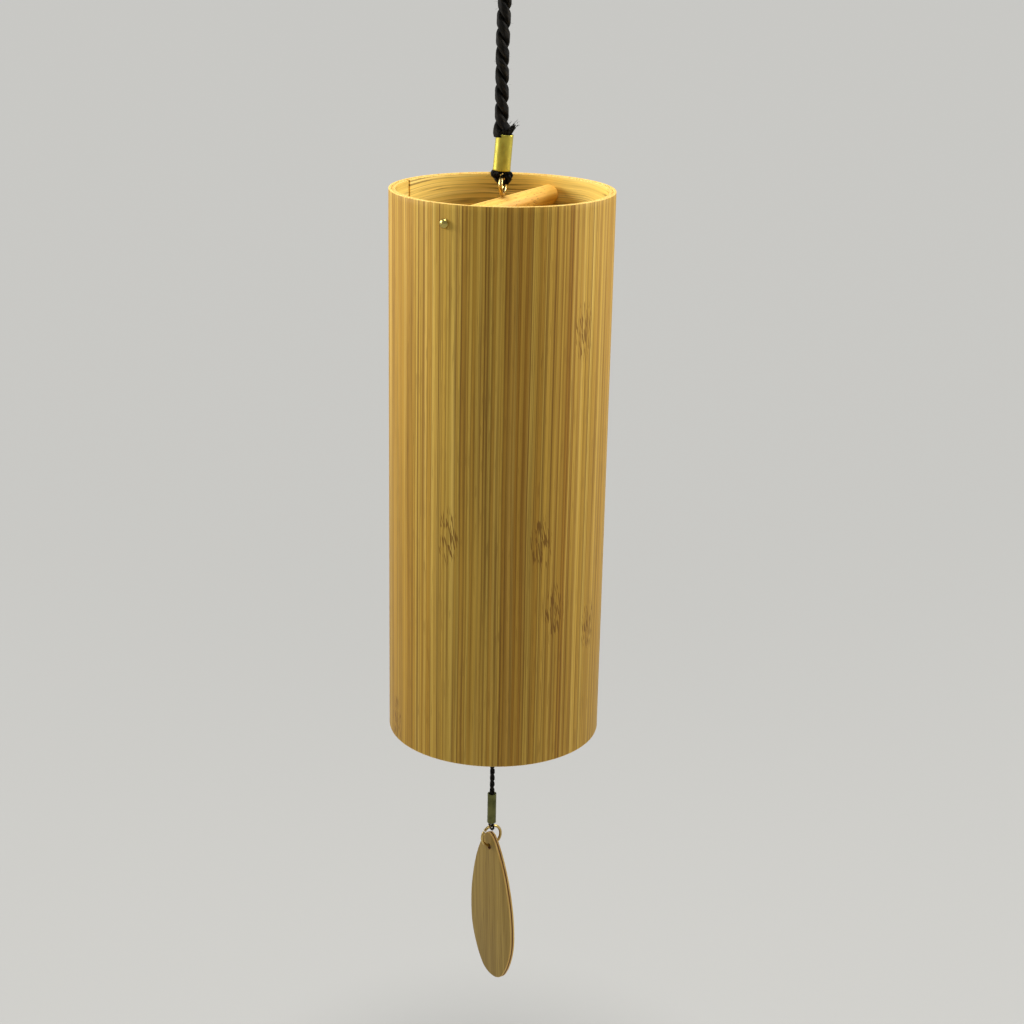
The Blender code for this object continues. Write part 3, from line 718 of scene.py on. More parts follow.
def plyRings(route, frames, settings, phase, swell):
    # One ply of a twisted cord. swell gives its size at a share of the way along.
    lead, offset = settings["lead"], settings["offset"]
    thick, wide = settings["thick"], settings["wide"]
    sides, yarns, relief = settings["sides"], settings["yarns"], settings["relief"]
    rings, reach, before = [], 0.0, route[0]
    total = lengthOf(route)
    for point, (side, cross) in zip(route, frames):
        reach += (point - before).length
        before = point
        turn = phase + math.tau * reach / lead
        size = swell(reach / total)
        out = side * math.cos(turn) + cross * math.sin(turn)
        sweep = cross * math.cos(turn) - side * math.sin(turn)
        centre = point + out * offset * size
        ring = []
        for j in range(sides):
            angle = math.tau * j / sides
            ripple = 1 + relief * math.cos(yarns * (angle + 1.25 * turn))
            ring.append(
                centre
                + out * (thick * size * ripple * math.cos(angle))
                + sweep * (wide * size * ripple * math.sin(angle))
            )
        rings.append((ring, reach))
    return rings


hairWidth = 0.055 * mm


def anyWay(rng):
    return Vector((rng.uniform(-1, 1), rng.uniform(-1, 1), rng.uniform(-1, 1)))


def roundRing(point, heading, size, sides):
    side = heading.orthogonal().normalized()
    cross = heading.cross(side)
    angles = (math.tau * n / sides for n in range(sides))
    return [point + (side * math.cos(a) + cross * math.sin(a)) * size for a in angles]


def hairRings(start, heading, length, rng):
    # a stray fibre: thin, curved and tapered
    curl = anyWay(rng) * 0.9
    rings, point, steps = [], start.copy(), 5
    for i in range(steps + 1):
        heading = (heading + curl * (0.22 * i / steps)).normalized()
        size = hairWidth / 2 * (1 - 0.7 * i / steps)
        rings.append((roundRing(point, heading, size, 3), length * i / steps))
        point = point + heading * (length / steps)
    return rings


def addHairs(strands, plies, settings, rng):
    for _ in range(settings["hairs"]):
        rings = rng.choice(plies)
        ring = rings[rng.randrange(2, len(rings) - 2)][0]
        centre = sum(ring, Vector()) / len(ring)
        start = ring[rng.randrange(len(ring))]
        out = (start - centre).normalized()
        heading = (out + anyWay(rng) * 0.8).normalized()
        length = rng.uniform(0.5, settings["hairLength"]) * mm
        strands.append(hairRings(start - out * 0.05 * mm, heading, length, rng))


def twistedCord(name, points, settings, swell=lambda share: 1.0, side=Vector((1, 0, 0)), seed=1):
    route = smoothRoute(points, settings["step"])
    frames = framesAlong(route, side)
    count = settings["plies"]
    phases = [settings["phase"] + k * math.tau / count for k in range(count)]
    plies = [plyRings(route, frames, settings, phase, swell) for phase in phases]
    strands = list(plies)
    addHairs(strands, plies, settings, random.Random(seed))
    return strandMesh(name, strands), route


loopHalf = [                  # x and z in mm, from the loop's top down its right side
    (0.0, 1.1), (3.7, 0.2), (6.6, -3.4), (8.2, -9.5), (7.6, -17.0),
    (5.3, -26.0), (2.9, -33.2), (1.75, -36.6),
]
loopSettings = {
    "plies": 1, "lead": 11 * mm, "phase": 0.0, "offset": 0.0, "thick": 1.08 * mm, "wide": 1.08 * mm,
    "sides": 20, "yarns": 5, "relief": 0.055, "step": 0.32 * mm, "hairs": 50, "hairLength": 1.5,
}
ropeSettings = {
    "plies": 2, "lead": -10.0 * mm, "phase": 0.0, "offset": 0.93 * mm, "thick": 0.97 * mm, "wide": 1.42 * mm,
    "sides": 28, "yarns": 6, "relief": 0.045, "step": 0.22 * mm, "hairs": 90, "hairLength": 1.6,
    "top": -38.6 * mm, "bottom": -86.0 * mm, "mouth": -82.9 * mm, "lean": 0.65 * mm, "leanAzimuth": 118.2,
}
lowerCordSettings = {
    "plies": 2, "lead": -4.4 * mm, "phase": 0.6, "offset": 0.36 * mm, "thick": 0.39 * mm, "wide": 0.54 * mm,
    "sides": 16, "yarns": 4, "relief": 0.04, "step": 0.14 * mm, "hairs": 24, "hairLength": 0.6,
}
cordPlaces = {
    "lineTop": -120.3 * mm, "lineBottom": -206.3 * mm,
    "tailTop": -209.5 * mm, "meeting": -259.4 * mm, "sailCordBottom": -290.1 * mm,
    "lowerMouth": -287.15 * mm,
}


def buildLoop():
    right = [(x * mm, 0, z * mm) for x, z in reversed(loopHalf)]
    left = [(-x * mm, 0, z * mm) for x, z in loopHalf[1:]]
    start = [(1.15 * mm, 0, -39.3 * mm), (1.35 * mm, 0, -38.2 * mm)]
    finish = [(-1.35 * mm, 0, -38.2 * mm), (-1.15 * mm, 0, -39.3 * mm)]
    piece, route = twistedCord(
        "hangingLoop", start + right + left + finish, loopSettings, side=Vector((0, 1, 0)), seed=3
    )
    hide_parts("hanging_loop")
    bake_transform(piece)


def ropeSwell(share):
    # the rope is a little loose above its ferrule, and squeezed inside it
    s = ropeSettings
    height = s["top"] + (s["bottom"] - s["top"]) * share
    above = (height - s["mouth"]) / mm
    if above < -0.8:
        return 0.9
    return 1.0 + 0.30 * math.exp(-((above - 0.4) / 2.6) ** 2)


def buildRope():
    s = ropeSettings
    lean = turned(s["leanAzimuth"], size=3) @ Vector((s["lean"], 0, 0))
    points = []
    for share, aside in ((0.0, 0.0), (0.25, 0.6), (0.5, 1.0), (0.75, 0.9), (1.0, 0.6)):
        height = s["top"] + (s["bottom"] - s["top"]) * share
        points.append(Vector((0, 0, height)) + lean * aside)
    piece, route = twistedCord("hangingRope", points, s, ropeSwell, seed=5)
    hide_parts("hanging_rope")
    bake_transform(piece)


# Cut yarns that stand out of the ferrule's mouths, in mm, with the azimuth of the fuller side
fraySettings = [
    {"name": "ropeFray", "azimuth": -61.8, "way": 1, "radius": 1.72, "inner": 0.85, "height": -83.6,
     "yarns": 34, "length": 3.2, "spread": 0.42, "width": 0.62, "hairs": 5},
    {"name": "bightCore", "azimuth": 118.2, "way": -1, "radius": 0.95, "inner": 0.0, "height": -92.4,
     "yarns": 16, "length": 0.9, "spread": 0.08, "width": 0.66, "hairs": 0},
    {"name": "bightFray", "azimuth": 118.2, "way": -1, "radius": 1.5, "inner": 0.5, "height": -92.6,
     "yarns": 30, "length": 2.0, "spread": 1.5, "width": 0.62, "hairs": 3},
]


def buildFrays():
    for s in fraySettings:
        rng = random.Random(11)
        strands = []
        for i in range(s["yarns"]):
            around = math.radians(s["azimuth"]) + math.tau * i / s["yarns"] + rng.uniform(-0.1, 0.1)
            out = Vector((math.cos(around), math.sin(around), 0))
            fuller = 0.5 + 0.5 * math.cos(around - math.radians(s["azimuth"]))
            point = out * s["radius"] * rng.uniform(s["inner"], 1.0) * mm + up * s["height"] * mm
            heading = up * s["way"] + out * s["spread"] * (0.25 + fuller * rng.uniform(0.5, 1.2))
            length = (0.7 + s["length"] * (0.35 + 0.65 * fuller) * rng.uniform(0.55, 1.0)) * mm
            rings, steps = [], 6
            for k in range(steps + 1):
                waver = Vector((rng.uniform(-1, 1), rng.uniform(-1, 1), 0)) * 0.04
                heading = (heading.normalized() + out * 0.02 * k + waver).normalized()
                size = s["width"] / 2 * mm * (1 - 0.45 * (k / steps) ** 3)
                rings.append((roundRing(point, heading, size, 8), length * k / steps))
                point = point + heading * (length / steps)
            strands.append(rings)
            for _ in range(s["hairs"]):
                start = point - heading * 0.2 * mm
                hairHeading = (heading + out * rng.uniform(-0.3, 0.9)).normalized()
                strands.append(hairRings(start, hairHeading, rng.uniform(0.4, 1.3) * mm, rng))
        place(strandMesh(s["name"], strands), cordBlack, "rope_end", "black_cord")


def buildLowerCords():
    s, p = lowerCordSettings, cordPlaces
    made = []
    for name, top, bottom, node in (
        ("strikerLine", p["lineTop"], p["lineBottom"], "striker_line"),
        ("strikerTail", p["tailTop"], p["meeting"], "striker_tail"),
        ("sailCord", p["meeting"], p["sailCordBottom"], "sail_cord"),
    ):
        phase = s["phase"] + math.tau * (p["tailTop"] - top) / s["lead"]     # one twist through all three
        points = [(0, 0, top), (0, 0, (top + bottom) / 2), (0, 0, bottom)]
        piece, route = twistedCord(name, points, {**s, "phase": phase}, seed=len(name))
        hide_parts(node)
        made.append(piece)
    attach(made[0], "striker")
    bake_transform(made[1])
    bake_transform(made[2])


def bightRoute(leg, bulge, slack, radius, wire, mouth, top):
    # one lobe is slacker than the other
    sides = []
    for reach in (bulge + slack, bulge - slack * 0.7):
        sides.append([
            (leg, top), (leg * 1.05, mouth + 0.3 * mm), (reach, mouth - 0.85 * mm - slack * 0.3),
            (radius * 1.02, wire + 0.15 * mm), (radius * 0.74, wire - radius * 0.72),
        ])
    right = [(x, 0, z) for x, z in sides[0]]
    left = [(-x, 0, z) for x, z in reversed(sides[1])]
    return [*right, (0, 0, wire - radius * 1.02), *left]


bightSettings = [
    {"name": "ropeBight", "node": "rope_bight", "body": "rope_end", "turn": 105.0, "leg": 0.95, "bulge": 1.75,
     "slack": 0.55, "radius": 1.72, "wire": -94.7, "mouth": -93.0, "top": -90.2, "size": 1.0, "swell": 0.72,
     "hairs": 90, "hairLength": 1.1},
    {"name": "sailBight", "node": "sail_bight", "body": "sail_end", "turn": 61.2, "leg": 0.45, "bulge": 0.72,
     "slack": 0.0, "radius": 1.14, "wire": -298.65, "mouth": -297.25, "top": -294.4, "size": 0.44,
     "swell": 0.25, "hairs": 18, "hairLength": 0.7},
]


def buildBights():
    for b in bightSettings:
        settings = {
            "plies": 2, "lead": -3.4 * mm * b["size"] / 0.8, "phase": 0.3, "offset": 0.36 * mm * b["size"],
            "thick": 0.38 * mm * b["size"], "wide": 0.60 * mm * b["size"], "sides": 14, "yarns": 4,
            "relief": 0.06, "step": 0.10 * mm, "hairs": b["hairs"], "hairLength": b["hairLength"],
        }
        keys = ("leg", "bulge", "slack", "radius", "wire", "mouth", "top")
        points = bightRoute(*(b[key] * mm for key in keys))
        turn = turned(b["turn"], size=3)
        points = [turn @ Vector(q) for q in points]

        def swell(share, b=b):
            # fat and fluffy in the two lobes under the ferrule's mouth
            lobe = math.exp(-((min(share, 1 - share) - 0.28) / 0.075) ** 2)
            return 1.0 + b["swell"] * lobe

        piece = twistedCord(b["name"], points, settings, swell, turn @ Vector((0, 1, 0)), 7)[0]
        place(piece, cordBlack, b["body"], "black_cord", b["node"])


hitchSettings = {"turn": 90.0, "leg": 0.85, "spread": 1.05, "radius": 1.45, "pivot": -111.1, "drop": 6.0}
knotSettings = {"radius": 1.02 * mm, "height": 1.30 * mm, "cord": 0.52 * mm, "steps": 150, "sides": 14}


def buildHitch():
    s = hitchSettings
    side = [(s["leg"], s["pivot"] - s["drop"]), (s["spread"], s["pivot"] - 4.0), (s["radius"], s["pivot"]),
            (s["radius"] * 0.72, s["pivot"] + s["radius"] * 0.72)]
    points = [(x, 0, z) for x, z in side] + [(0, 0, s["pivot"] + s["radius"])]
    points += [(-x, 0, z) for x, z in reversed(side)]
    turn = turned(s["turn"], size=3)
    points = [turn @ (Vector(q) * mm) for q in points]
    piece = twistedCord("strikerLoop", points, lowerCordSettings, seed=8)[0]
    place(piece, cordBlack, "striker_hitch", "black_cord", "striker_loop")


def buildKnot(name, node, body, seed):
    # an overhand knot pulled tight: one strand that crosses itself three times
    s = knotSettings
    middle = boxOf(node)[2]
    route = []
    for i in range(s["steps"] + 1):
        t = math.tau * i / s["steps"]
        x, y = math.sin(t) + 2 * math.sin(2 * t), math.cos(t) - 2 * math.cos(2 * t)
        z = -math.sin(3 * t) * s["height"] / 2
        route.append(middle + Vector((x / 3 * s["radius"], y / 3 * s["radius"], z)))
    frames = framesAlong(route, up)
    settings = {**loopSettings, "thick": s["cord"], "wide": s["cord"], "sides": s["sides"], "lead": 5 * mm,
                "yarns": 4, "relief": 0.06}
    rings = plyRings(route, frames, settings, 0.0, lambda share: 1.0)
    strands = [rings]
    addHairs(strands, [rings], {"hairs": 14, "hairLength": 0.8}, random.Random(seed))
    place(strandMesh(name, strands), cordBlack, body, "black_cord", node)


buildLoop()
buildRope()
buildFrays()
buildLowerCords()
buildBights()
buildHitch()
buildKnot("strikerLoopKnot", "striker_loop_knot", "striker_hitch", 21)
buildKnot("strikerKnot", "striker_knot", "striker", 22)
print("cords made")


# The tube: veneer outside, lining inside

liningSettings = {
    "gap": 0.06 * mm,         # a dark glue line between the veneer and its lining
    "wall": 1.05 * mm,
    "seamAzimuth": 92.0,
    "sides": 192,
    "short": 0.3 * mm,        # how much shorter it is than its node
    "edgeRound": 0.16 * mm,
}
nailHoleSettings = {"radius": 0.75 * mm, "depth": 80 * mm, "sides": 20, "slices": (-4 * mm, 3.5 * mm)}


def setGrain(piece, radius, seamAzimuth, bottom):
    # UV map in metres: arc length from the seam, and height
    layer = piece.data.uv_layers.get("grain") or piece.data.uv_layers.new(name="grain")
    seam = math.radians(seamAzimuth)
    for face in piece.data.polygons:
        centre = face.center
        middle = (math.atan2(centre.y, centre.x) - seam) % math.tau
        for index in face.loop_indices:
            spot = piece.data.vertices[piece.data.loops[index].vertex_index].co
            angle = (math.atan2(spot.y, spot.x) - seam) % math.tau
            angle += math.tau * round((middle - angle) / math.tau)
            layer.data[index].uv = (angle * radius, spot.z - bottom)


def startTube(name, node, radius, sides, turn, short=0.0):
    # an open cylinder, sliced above and below the nails so that their holes leave the long faces alone
    low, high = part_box(node)
    piece = startWith(
        name, bpy.ops.mesh.primitive_cylinder_add, vertices=sides, radius=radius, end_fill_type="NOTHING",
        depth=high.z - low.z - short, location=(0, 0, (low.z + high.z) / 2),
    )
    bpy.ops.transform.rotate(value=math.pi / 2 - turn, orient_axis="Z", center_override=(0, 0, 0))
    for step in nailHoleSettings["slices"]:
        sliceAt(boxOf("nail_left")[2].z + step)
    return piece


def thicken(piece, wall):
    faceOut()
    toObject()
    applyModifier(piece, "SOLIDIFY", thickness=wall, offset=-1, use_even_offset=True)
    toEdit()


def roundRims(piece, heights, width):
    def atRim(a, b):
        across = abs(a.xy.length - b.xy.length) < 0.1 * mm
        return across and level(a, b) and min(abs(a.z - height) for height in heights) < 1e-6

    pick(piece, "EDGE", atRim)
    bevel(width, 2)
    toObject()


def drillForNails(piece):
    s = nailHoleSettings
    drill(piece, s["radius"], (0, 0, boxOf("nail_left")[2].z), (0, math.pi / 2, 0), s["depth"], s["sides"])


def buildVeneer():
    s = veneerSettings
    low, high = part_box("tube_veneer")
    seam = math.radians(s["seamAzimuth"])
    piece = startTube("tubeVeneer", "tube_veneer", s["radius"], s["sides"], seam)
    line = Vector((math.cos(seam), math.sin(seam), 0)) * s["radius"]

    def onSeam(*ends):
        return all((end - line).xy.length < 0.05 * mm for end in ends)

    pick(piece, "EDGE", onSeam)
    bevel(s["seamWidth"], 2)
    pick(piece, "VERT", onSeam)
    inwards = 1 - s["seamDepth"] / s["radius"]
    scaleBy(inwards, inwards, 1)
    thicken(piece, s["wall"])
    roundRims(piece, (low.z, high.z), s["edgeRound"])
    drillForNails(piece)
    piece.data.materials.append(veneerWood)
    piece.data.materials.append(edgeWood)
    for face in piece.data.polygons:
        if abs(face.normal.z) > 0.3 or face.normal.xy.dot(face.center.xy) < 0:
            face.material_index = 1
    setGrain(piece, s["radius"], s["seamAzimuth"], low.z)
    finishPiece(piece)
    place(piece, veneerWood, "chime", "bamboo_veneer", "tube_veneer")


def buildLining():
    s, v = liningSettings, veneerSettings
    outer = v["radius"] - v["wall"] - s["gap"]
    half = math.pi / s["sides"]
    seam = math.radians(s["seamAzimuth"])
    piece = startTube("tubeLining", "tube_lining", outer, s["sides"], seam - half, s["short"])
    line = Vector((math.cos(seam), math.sin(seam)))
    pick(piece, "FACE", lambda centre, normal: centre.xy.normalized().dot(line) > math.cos(half * 0.6))
    bpy.ops.mesh.delete(type="FACE")
    thicken(piece, s["wall"])
    top = max(vert.co.z for vert in piece.data.vertices)
    roundRims(piece, (top,), s["edgeRound"])
    drillForNails(piece)
    piece.data.materials.append(liningWood)
    piece.data.materials.append(edgeWood)
    for face in piece.data.polygons:
        if abs(face.normal.z) > 0.3:
            face.material_index = 1
    setGrain(piece, outer, s["seamAzimuth"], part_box("tube_lining")[0].z)
    finishPiece(piece)
    place(piece, liningWood, "chime", "bamboo_lining", "tube_lining")


buildVeneer()
buildLining()
print("tube made")


# Dowel, eyes and nails

dowelSettings = {
    "sides": 64, "round": 1.25 * mm, "eyeHole": 0.78 * mm, "eyeHoleDepth": 4.4 * mm, "slice": 2.2 * mm,
}
eyeSettings = [
    {"name": "upperEye", "node": "upper_eye", "outer": 6.0 * mm, "wire": 1.2 * mm, "turn": 15.0, "side": 1},
    {"name": "lowerEye", "node": "lower_eye", "outer": 5.0 * mm, "wire": 1.0 * mm, "turn": 0.0, "side": -1},
]
nailSettings = {"head": 2.7 * mm, "dome": 0.95 * mm, "shank": 1.2 * mm, "point": 1.6 * mm}


def buildDowel():
    s = dowelSettings
    low, high, middle, size = boxOf("cross_dowel")
    piece = startWith(
        "crossDowel", bpy.ops.mesh.primitive_cylinder_add, vertices=s["sides"], radius=size.z / 2,
        depth=size.x, location=middle, rotation=(0, math.pi / 2, 0),
    )
    pick(piece, "EDGE", lambda a, b: abs(a.x - b.x) < 1e-6)
    bevel(s["round"], 7)
    for side in (-1, 1):                 # keeps the holes' cuts away from the long faces
        sliceAt(side * s["slice"], Vector((1, 0, 0)))
    toObject()
    for top in (high.z, low.z):
        drill(piece, s["eyeHole"], (middle.x, middle.y, top), (0, 0, 0), s["eyeHoleDepth"])
    finishPiece(piece)
    place(piece, beechWood, "chime", "beech", "cross_dowel")


def openRing(name, outer, wire, gapFrom, gapTo):
    # a wire ring upright in the X-Z plane, with a slit between two angles (degrees from +X)
    piece = startWith(
        name, bpy.ops.mesh.primitive_torus_add, major_radius=(outer - wire) / 2, minor_radius=wire / 2,
        major_segments=96, minor_segments=20, rotation=(math.pi / 2, 0, 0),
    )

    def inGap(centre, normal):
        return gapFrom < math.degrees(math.atan2(centre.z, centre.x)) % 360 < gapTo

    pick(piece, "FACE", inGap)
    bpy.ops.mesh.delete(type="FACE")
    selectAll()
    bpy.ops.mesh.fill_holes(sides=0)
    toObject()
    return piece


def buildEyes():
    for e in eyeSettings:
        low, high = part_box(e["node"])
        if e["side"] > 0:                # the ring is above its shank
            ringMiddle, shankEnd = high.z - e["outer"] / 2, low.z
        else:
            ringMiddle, shankEnd = low.z + e["outer"] / 2, high.z
        ring = openRing(e["name"], e["outer"], e["wire"], 277, 290)
        bpy.ops.object.select_all(action="DESELECT")
        half = (e["outer"] - e["wire"]) / 2
        reach = abs(shankEnd - ringMiddle) - half
        bpy.ops.mesh.primitive_cylinder_add(
            vertices=20, radius=e["wire"] / 2, depth=reach, location=(0, 0, -half - reach / 2)
        )
        shank = bpy.context.object
        toEdit()
        pick(shank, "FACE", lambda centre, normal: normal.z < -0.9)
        bpy.ops.mesh.inset(thickness=e["wire"] * 0.28, depth=e["wire"] * 0.35)    # a gimlet point
        toObject()
        bpy.ops.object.transform_apply(location=True, rotation=True, scale=True)
        ring.select_set(True)
        shank.select_set(True)
        bpy.context.view_layer.objects.active = ring
        bpy.ops.object.join()
        flip = turned(0 if e["side"] > 0 else 180, "X")
        moveMesh(ring, Matrix.Translation((0, 0, ringMiddle)) @ turned(e["turn"]) @ flip)
        finishPiece(ring, 50)
        place(ring, brassWire, "chime", "brass", e["node"])


def buildNails():
    s = nailSettings
    for side, node in ((-1, "nail_left"), (1, "nail_right")):
        low, high, middle, size = boxOf(node)
        piece = startWith(
            "nailLeft" if side < 0 else "nailRight", bpy.ops.mesh.primitive_uv_sphere_add, segments=36,
            ring_count=24, radius=s["head"] / 2,
        )
        scaleBy(1, 1, s["dome"] / (s["head"] / 2))
        bpy.ops.mesh.bisect(plane_co=(0, 0, 0), plane_no=(0, 0, 1), clear_inner=True, use_fill=True)
        pick(piece, "FACE", lambda centre, normal: normal.z < -0.9)
        bpy.ops.mesh.inset(thickness=(s["head"] - s["shank"]) / 2, depth=0)
        straight = size.x - s["dome"] - s["point"]
        for run in (straight, s["point"]):
            bpy.ops.mesh.extrude_region_move(TRANSFORM_OT_translate={"value": (0, 0, -run)})
        scaleBy(0.12, 0.12, 1)
        toObject()
        seat = (high.x if side > 0 else low.x) - side * s["dome"]
        moveMesh(piece, Matrix.Translation((seat, middle.y, middle.z)) @ turned(side * 90, "Y"))
        finishPiece(piece, 50)
        place(piece, nailBrass, "chime", "brass", node)


buildDowel()
buildEyes()
buildNails()
print("dowel, eyes and nails made")


# Ferrules

ferruleSettings = [
    {"name": "ropeFerrule", "node": "rope_ferrule", "body": "rope_end", "wall": 0.40 * mm, "waist": 0.985,
     "lean": 4.2, "metal": brassBright},       # its lean in degrees
    {"name": "sailFerrule", "node": "sail_ferrule", "body": "sail_end", "wall": 0.30 * mm, "waist": 0.99,
     "lean": 0.0, "metal": brassDull},
]


def buildFerrules():
    towards = turned(cameraSettings["heading"], size=3) @ Vector((0, 1, 0))      # the way the camera looks
    for f in ferruleSettings:
        low, high, middle, size = boxOf(f["node"])
        piece = startWith(
            f["name"], bpy.ops.mesh.primitive_cylinder_add, vertices=64, radius=size.x / 2, depth=size.z,
            location=middle, end_fill_type="NOTHING",
        )
        for share in (0.05, 0.12, 0.3, 0.5, 0.7, 0.88, 0.95):
            sliceAt(low.z + size.z * share)
        pick(piece, "VERT", lambda v: abs(v.z - middle.z) < size.z * 0.42)     # the lips stand a little proud
        scaleBy(f["waist"], f["waist"], 1)
        faceOut()
        toObject()
        applyModifier(piece, "SOLIDIFY", thickness=f["wall"], offset=-1)
        toEdit()

        def atLip(a, b, low=low, high=high, wall=f["wall"]):
            atEnd = min(abs(a.z - low.z), abs(a.z - high.z)) < 1e-6
            return atEnd and level(a, b) and abs(a.xy.length - b.xy.length) < wall / 2

        pick(piece, "EDGE", atLip)
        bevel(f["wall"] * 0.36, 3)
        toObject()
        moveMesh(piece, Matrix.Translation(middle) @ turned(f["lean"], towards) @ Matrix.Translation(-middle))
        finishPiece(piece, 60)
        place(piece, f["metal"], f["body"], "brass", f["node"])


buildFerrules()
print("ferrules made")


# Base plate, rods and solder

plateSettings = {"hole": 8.0 * mm, "rodHole": 1.0 * mm, "circle": 18.0 * mm, "edge": 0.16 * mm}
rodSettings = {"count": 8, "round": 0.30 * mm}
solderSettings = {"foot": 2.0 * mm, "neck": 0.9 * mm, "sink": 0.3 * mm, "waver": 0.05 * mm}


def buildPlate():
    s = plateSettings
    middle, size = boxOf("base_plate")[2:]
    piece = startWith(
        "basePlate", bpy.ops.mesh.primitive_cylinder_add, vertices=160, radius=size.x / 2, depth=size.z,
        location=middle,
    )
    toObject()
    drill(piece, s["hole"], middle, (0, 0, 0), size.z * 3, 96)
    for i in range(rodSettings["count"]):
        angle = math.tau * i / rodSettings["count"]
        spot = middle + Vector((math.cos(angle), math.sin(angle), 0)) * s["circle"]
        drill(piece, s["rodHole"], spot, (0, 0, 0), size.z * 3)
    applyModifier(
        piece, "BEVEL", width=s["edge"], segments=2, limit_method="ANGLE", angle_limit=math.radians(50)
    )
    finishPiece(piece, 20)                 # the flats stay flat beside their small bevels
    place(piece, steelPlate, "chime", "steel", "base_plate")


def buildRods():
    # one rod with rounded ends, copied to each length
    high, middle, size = boxOf("tone_rod_1")[1:]
    first = startWith(
        "toneRod1", bpy.ops.mesh.primitive_cylinder_add, vertices=24, radius=size.x / 2, depth=size.z,
        location=(0, 0, middle.z),
    )
    pick(first, "EDGE", level)
    bevel(rodSettings["round"], 4)
    finishPiece(first, 50)
    rods = [first] + [copyPiece(first, f"toneRod{i + 1}") for i in range(1, rodSettings["count"])]
    for i, rod in enumerate(rods):
        node = f"tone_rod_{i + 1}"
        top, centre = boxOf(node)[1:3]
        for vert in rod.data.vertices:
            if vert.co.z > middle.z:
                vert.co.z += top.z - high.z
        moveMesh(rod, Matrix.Translation((centre.x, centre.y, 0)))
        place(rod, steelBright, "chime", "steel", node)


def buildSolder():
    # a fillet that climbed the rod: wide at the plate, hollow in the middle, thin at the neck
    s = solderSettings
    low, _, middle, size = boxOf("solder_1")
    first = startWith(
        "solder1", bpy.ops.mesh.primitive_cone_add, vertices=28, radius1=s["foot"], radius2=s["neck"],
        depth=size.z, location=(0, 0, middle.z),
    )
    for share in (0.12, 0.3, 0.5, 0.75):
        here = low.z + size.z * share
        sliceAt(here)
        pick(first, "VERT", lambda v: abs(v.z - here) < 1e-6)
        squeeze = 1 - 0.30 * math.sin(math.pi * share)
        scaleBy(squeeze, squeeze, 1)
    selectAll()
    bpy.ops.transform.vertex_random(offset=s["waver"], seed=4)
    toObject()
    applyModifier(first, "SUBSURF", levels=1, render_levels=1)
    finishPiece(first, 70)
    beads = [first] + [copyPiece(first, f"solder{i + 1}") for i in range(1, rodSettings["count"])]
    for i, bead in enumerate(beads):
        node = f"solder_{i + 1}"
        centre = boxOf(node)[2]
        turn = Matrix.Rotation(2.4 * i, 4, "Z")          # each bead is turned another way
        moveMesh(bead, Matrix.Translation((centre.x, centre.y, -s["sink"])) @ turn)
        place(bead, solderGrey, "chime", "solder", node)


buildPlate()
buildRods()
buildSolder()
print("plate, rods and solder made")


# Striker disc

discSettings = {"bore": 0.95 * mm, "edge": 0.45 * mm}


def buildDisc():
    s = discSettings
    middle, size = boxOf("striker_disc")[2:]
    piece = startWith(
        "strikerDisc", bpy.ops.mesh.primitive_cylinder_add, vertices=128, radius=size.x / 2, depth=size.z,
        location=middle,
    )
    pick(piece, "EDGE", level)
    bevel(s["edge"], 4)
    toObject()
    drill(piece, s["bore"], middle, (0, 0, 0), size.z * 3, 40)
    finishPiece(piece, 35)
    place(piece, acrylicClear, "striker", "acrylic", "striker_disc")


buildDisc()
print("striker made")


# Jump ring and sail

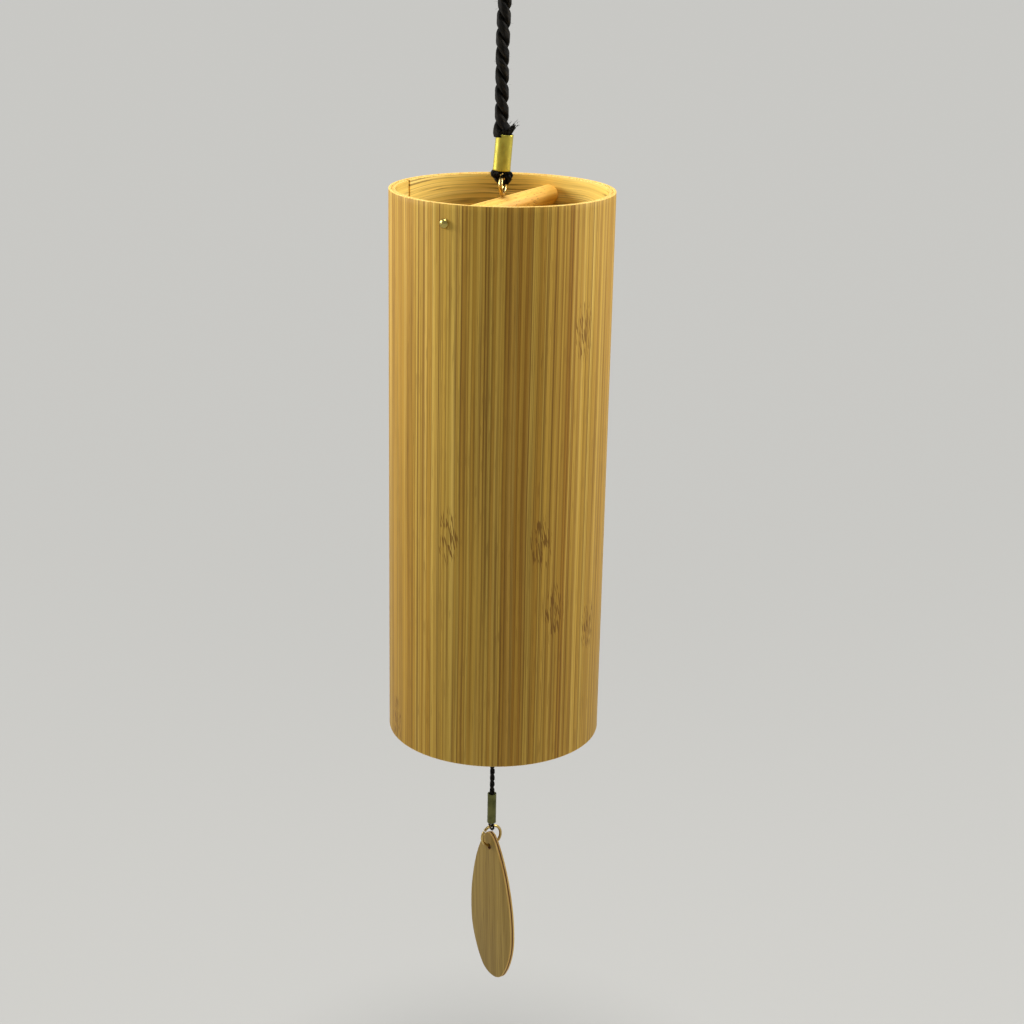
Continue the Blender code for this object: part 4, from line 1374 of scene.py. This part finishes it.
ringSettings = {"outer": 7.7 * mm, "wire": 0.9 * mm, "turn": 151.2, "gap": (38.0, 42.0)}
sailSettings = {
    # half of the outline, x and the depth under the top in mm
    "half": [
        (0.0, 0.0), (1.6, 0.5), (3.0, 1.9), (4.6, 4.2), (6.7, 8.0), (8.6, 12.6), (10.2, 18.0), (11.4, 24.0),
        (11.8, 30.0), (11.5, 35.6), (10.2, 40.4), (8.0, 45.0), (5.2, 48.6), (2.4, 50.0), (0.0, 50.3),
    ],
    "layers": (0.58 * mm, 0.44 * mm, 0.58 * mm),     # face, core and back veneers
    "hole": 1.0 * mm,
    "holeHeight": -305.70 * mm,
    "holeDrop": 4.8 * mm,
    "turn": 61.2,
    "lean": 3.5,
    "edgeRound": 0.16 * mm,
}


def buildRing():
    s = ringSettings
    middle = boxOf("jump_ring")[2]
    piece = openRing("jumpRing", s["outer"], s["wire"], *s["gap"])
    moveMesh(piece, Matrix.Translation(middle) @ turned(s["turn"]))
    finishPiece(piece, 50)
    place(piece, brassWire, "ring", "brass", "jump_ring")


def buildSail():
    s = sailSettings
    half = smoothRoute([(x * mm, 0, -z * mm) for x, z in s["half"]], 1.0 * mm)
    outline = half + [Vector((-p.x, 0, p.z)) for p in reversed(half[1:-1])]
    piece = startWith(
        "windSail", bpy.ops.mesh.primitive_circle_add, vertices=len(outline), radius=10 * mm, fill_type="NGON"
    )
    toObject()
    thick = sum(s["layers"])
    for vert, spot in zip(piece.data.vertices, outline):
        vert.co = spot + Vector((0, -thick / 2, s["holeDrop"]))
    toEdit()
    selectAll()
    for layer in s["layers"]:
        bpy.ops.mesh.extrude_region_move(TRANSFORM_OT_translate={"value": (0, layer, 0)})
    faceOut()
    pick(piece, "EDGE", lambda a, b: abs(a.y - b.y) < 1e-6 and abs(abs(a.y) - thick / 2) < 1e-6)
    bevel(s["edgeRound"], 3)
    toObject()
    drill(piece, s["hole"], (0, 0, 0), (math.pi / 2, 0, 0), thick * 3, 40)
    core = s["layers"][1] / 2
    layer = piece.data.uv_layers.new(name="grain")
    for material in (sailFace, sailCore, sailEdge):
        piece.data.materials.append(material)
    for face in piece.data.polygons:
        if abs(face.normal.y) < 0.85:     # the cut edge
            face.material_index = 1 if abs(face.center.y) < core else 2
        for index in face.loop_indices:
            spot = piece.data.vertices[piece.data.loops[index].vertex_index].co
            layer.data[index].uv = (spot.x + spot.y * 3, spot.z + 0.06)
    hang = Matrix.Translation((0, 0, s["holeHeight"]))
    moveMesh(piece, hang @ turned(s["turn"]) @ turned(s["lean"], "Y"))
    finishPiece(piece)
    place(piece, sailFace, "sail", "sail_veneer", "wind_sail")


buildRing()
buildSail()
print("ring and sail made")
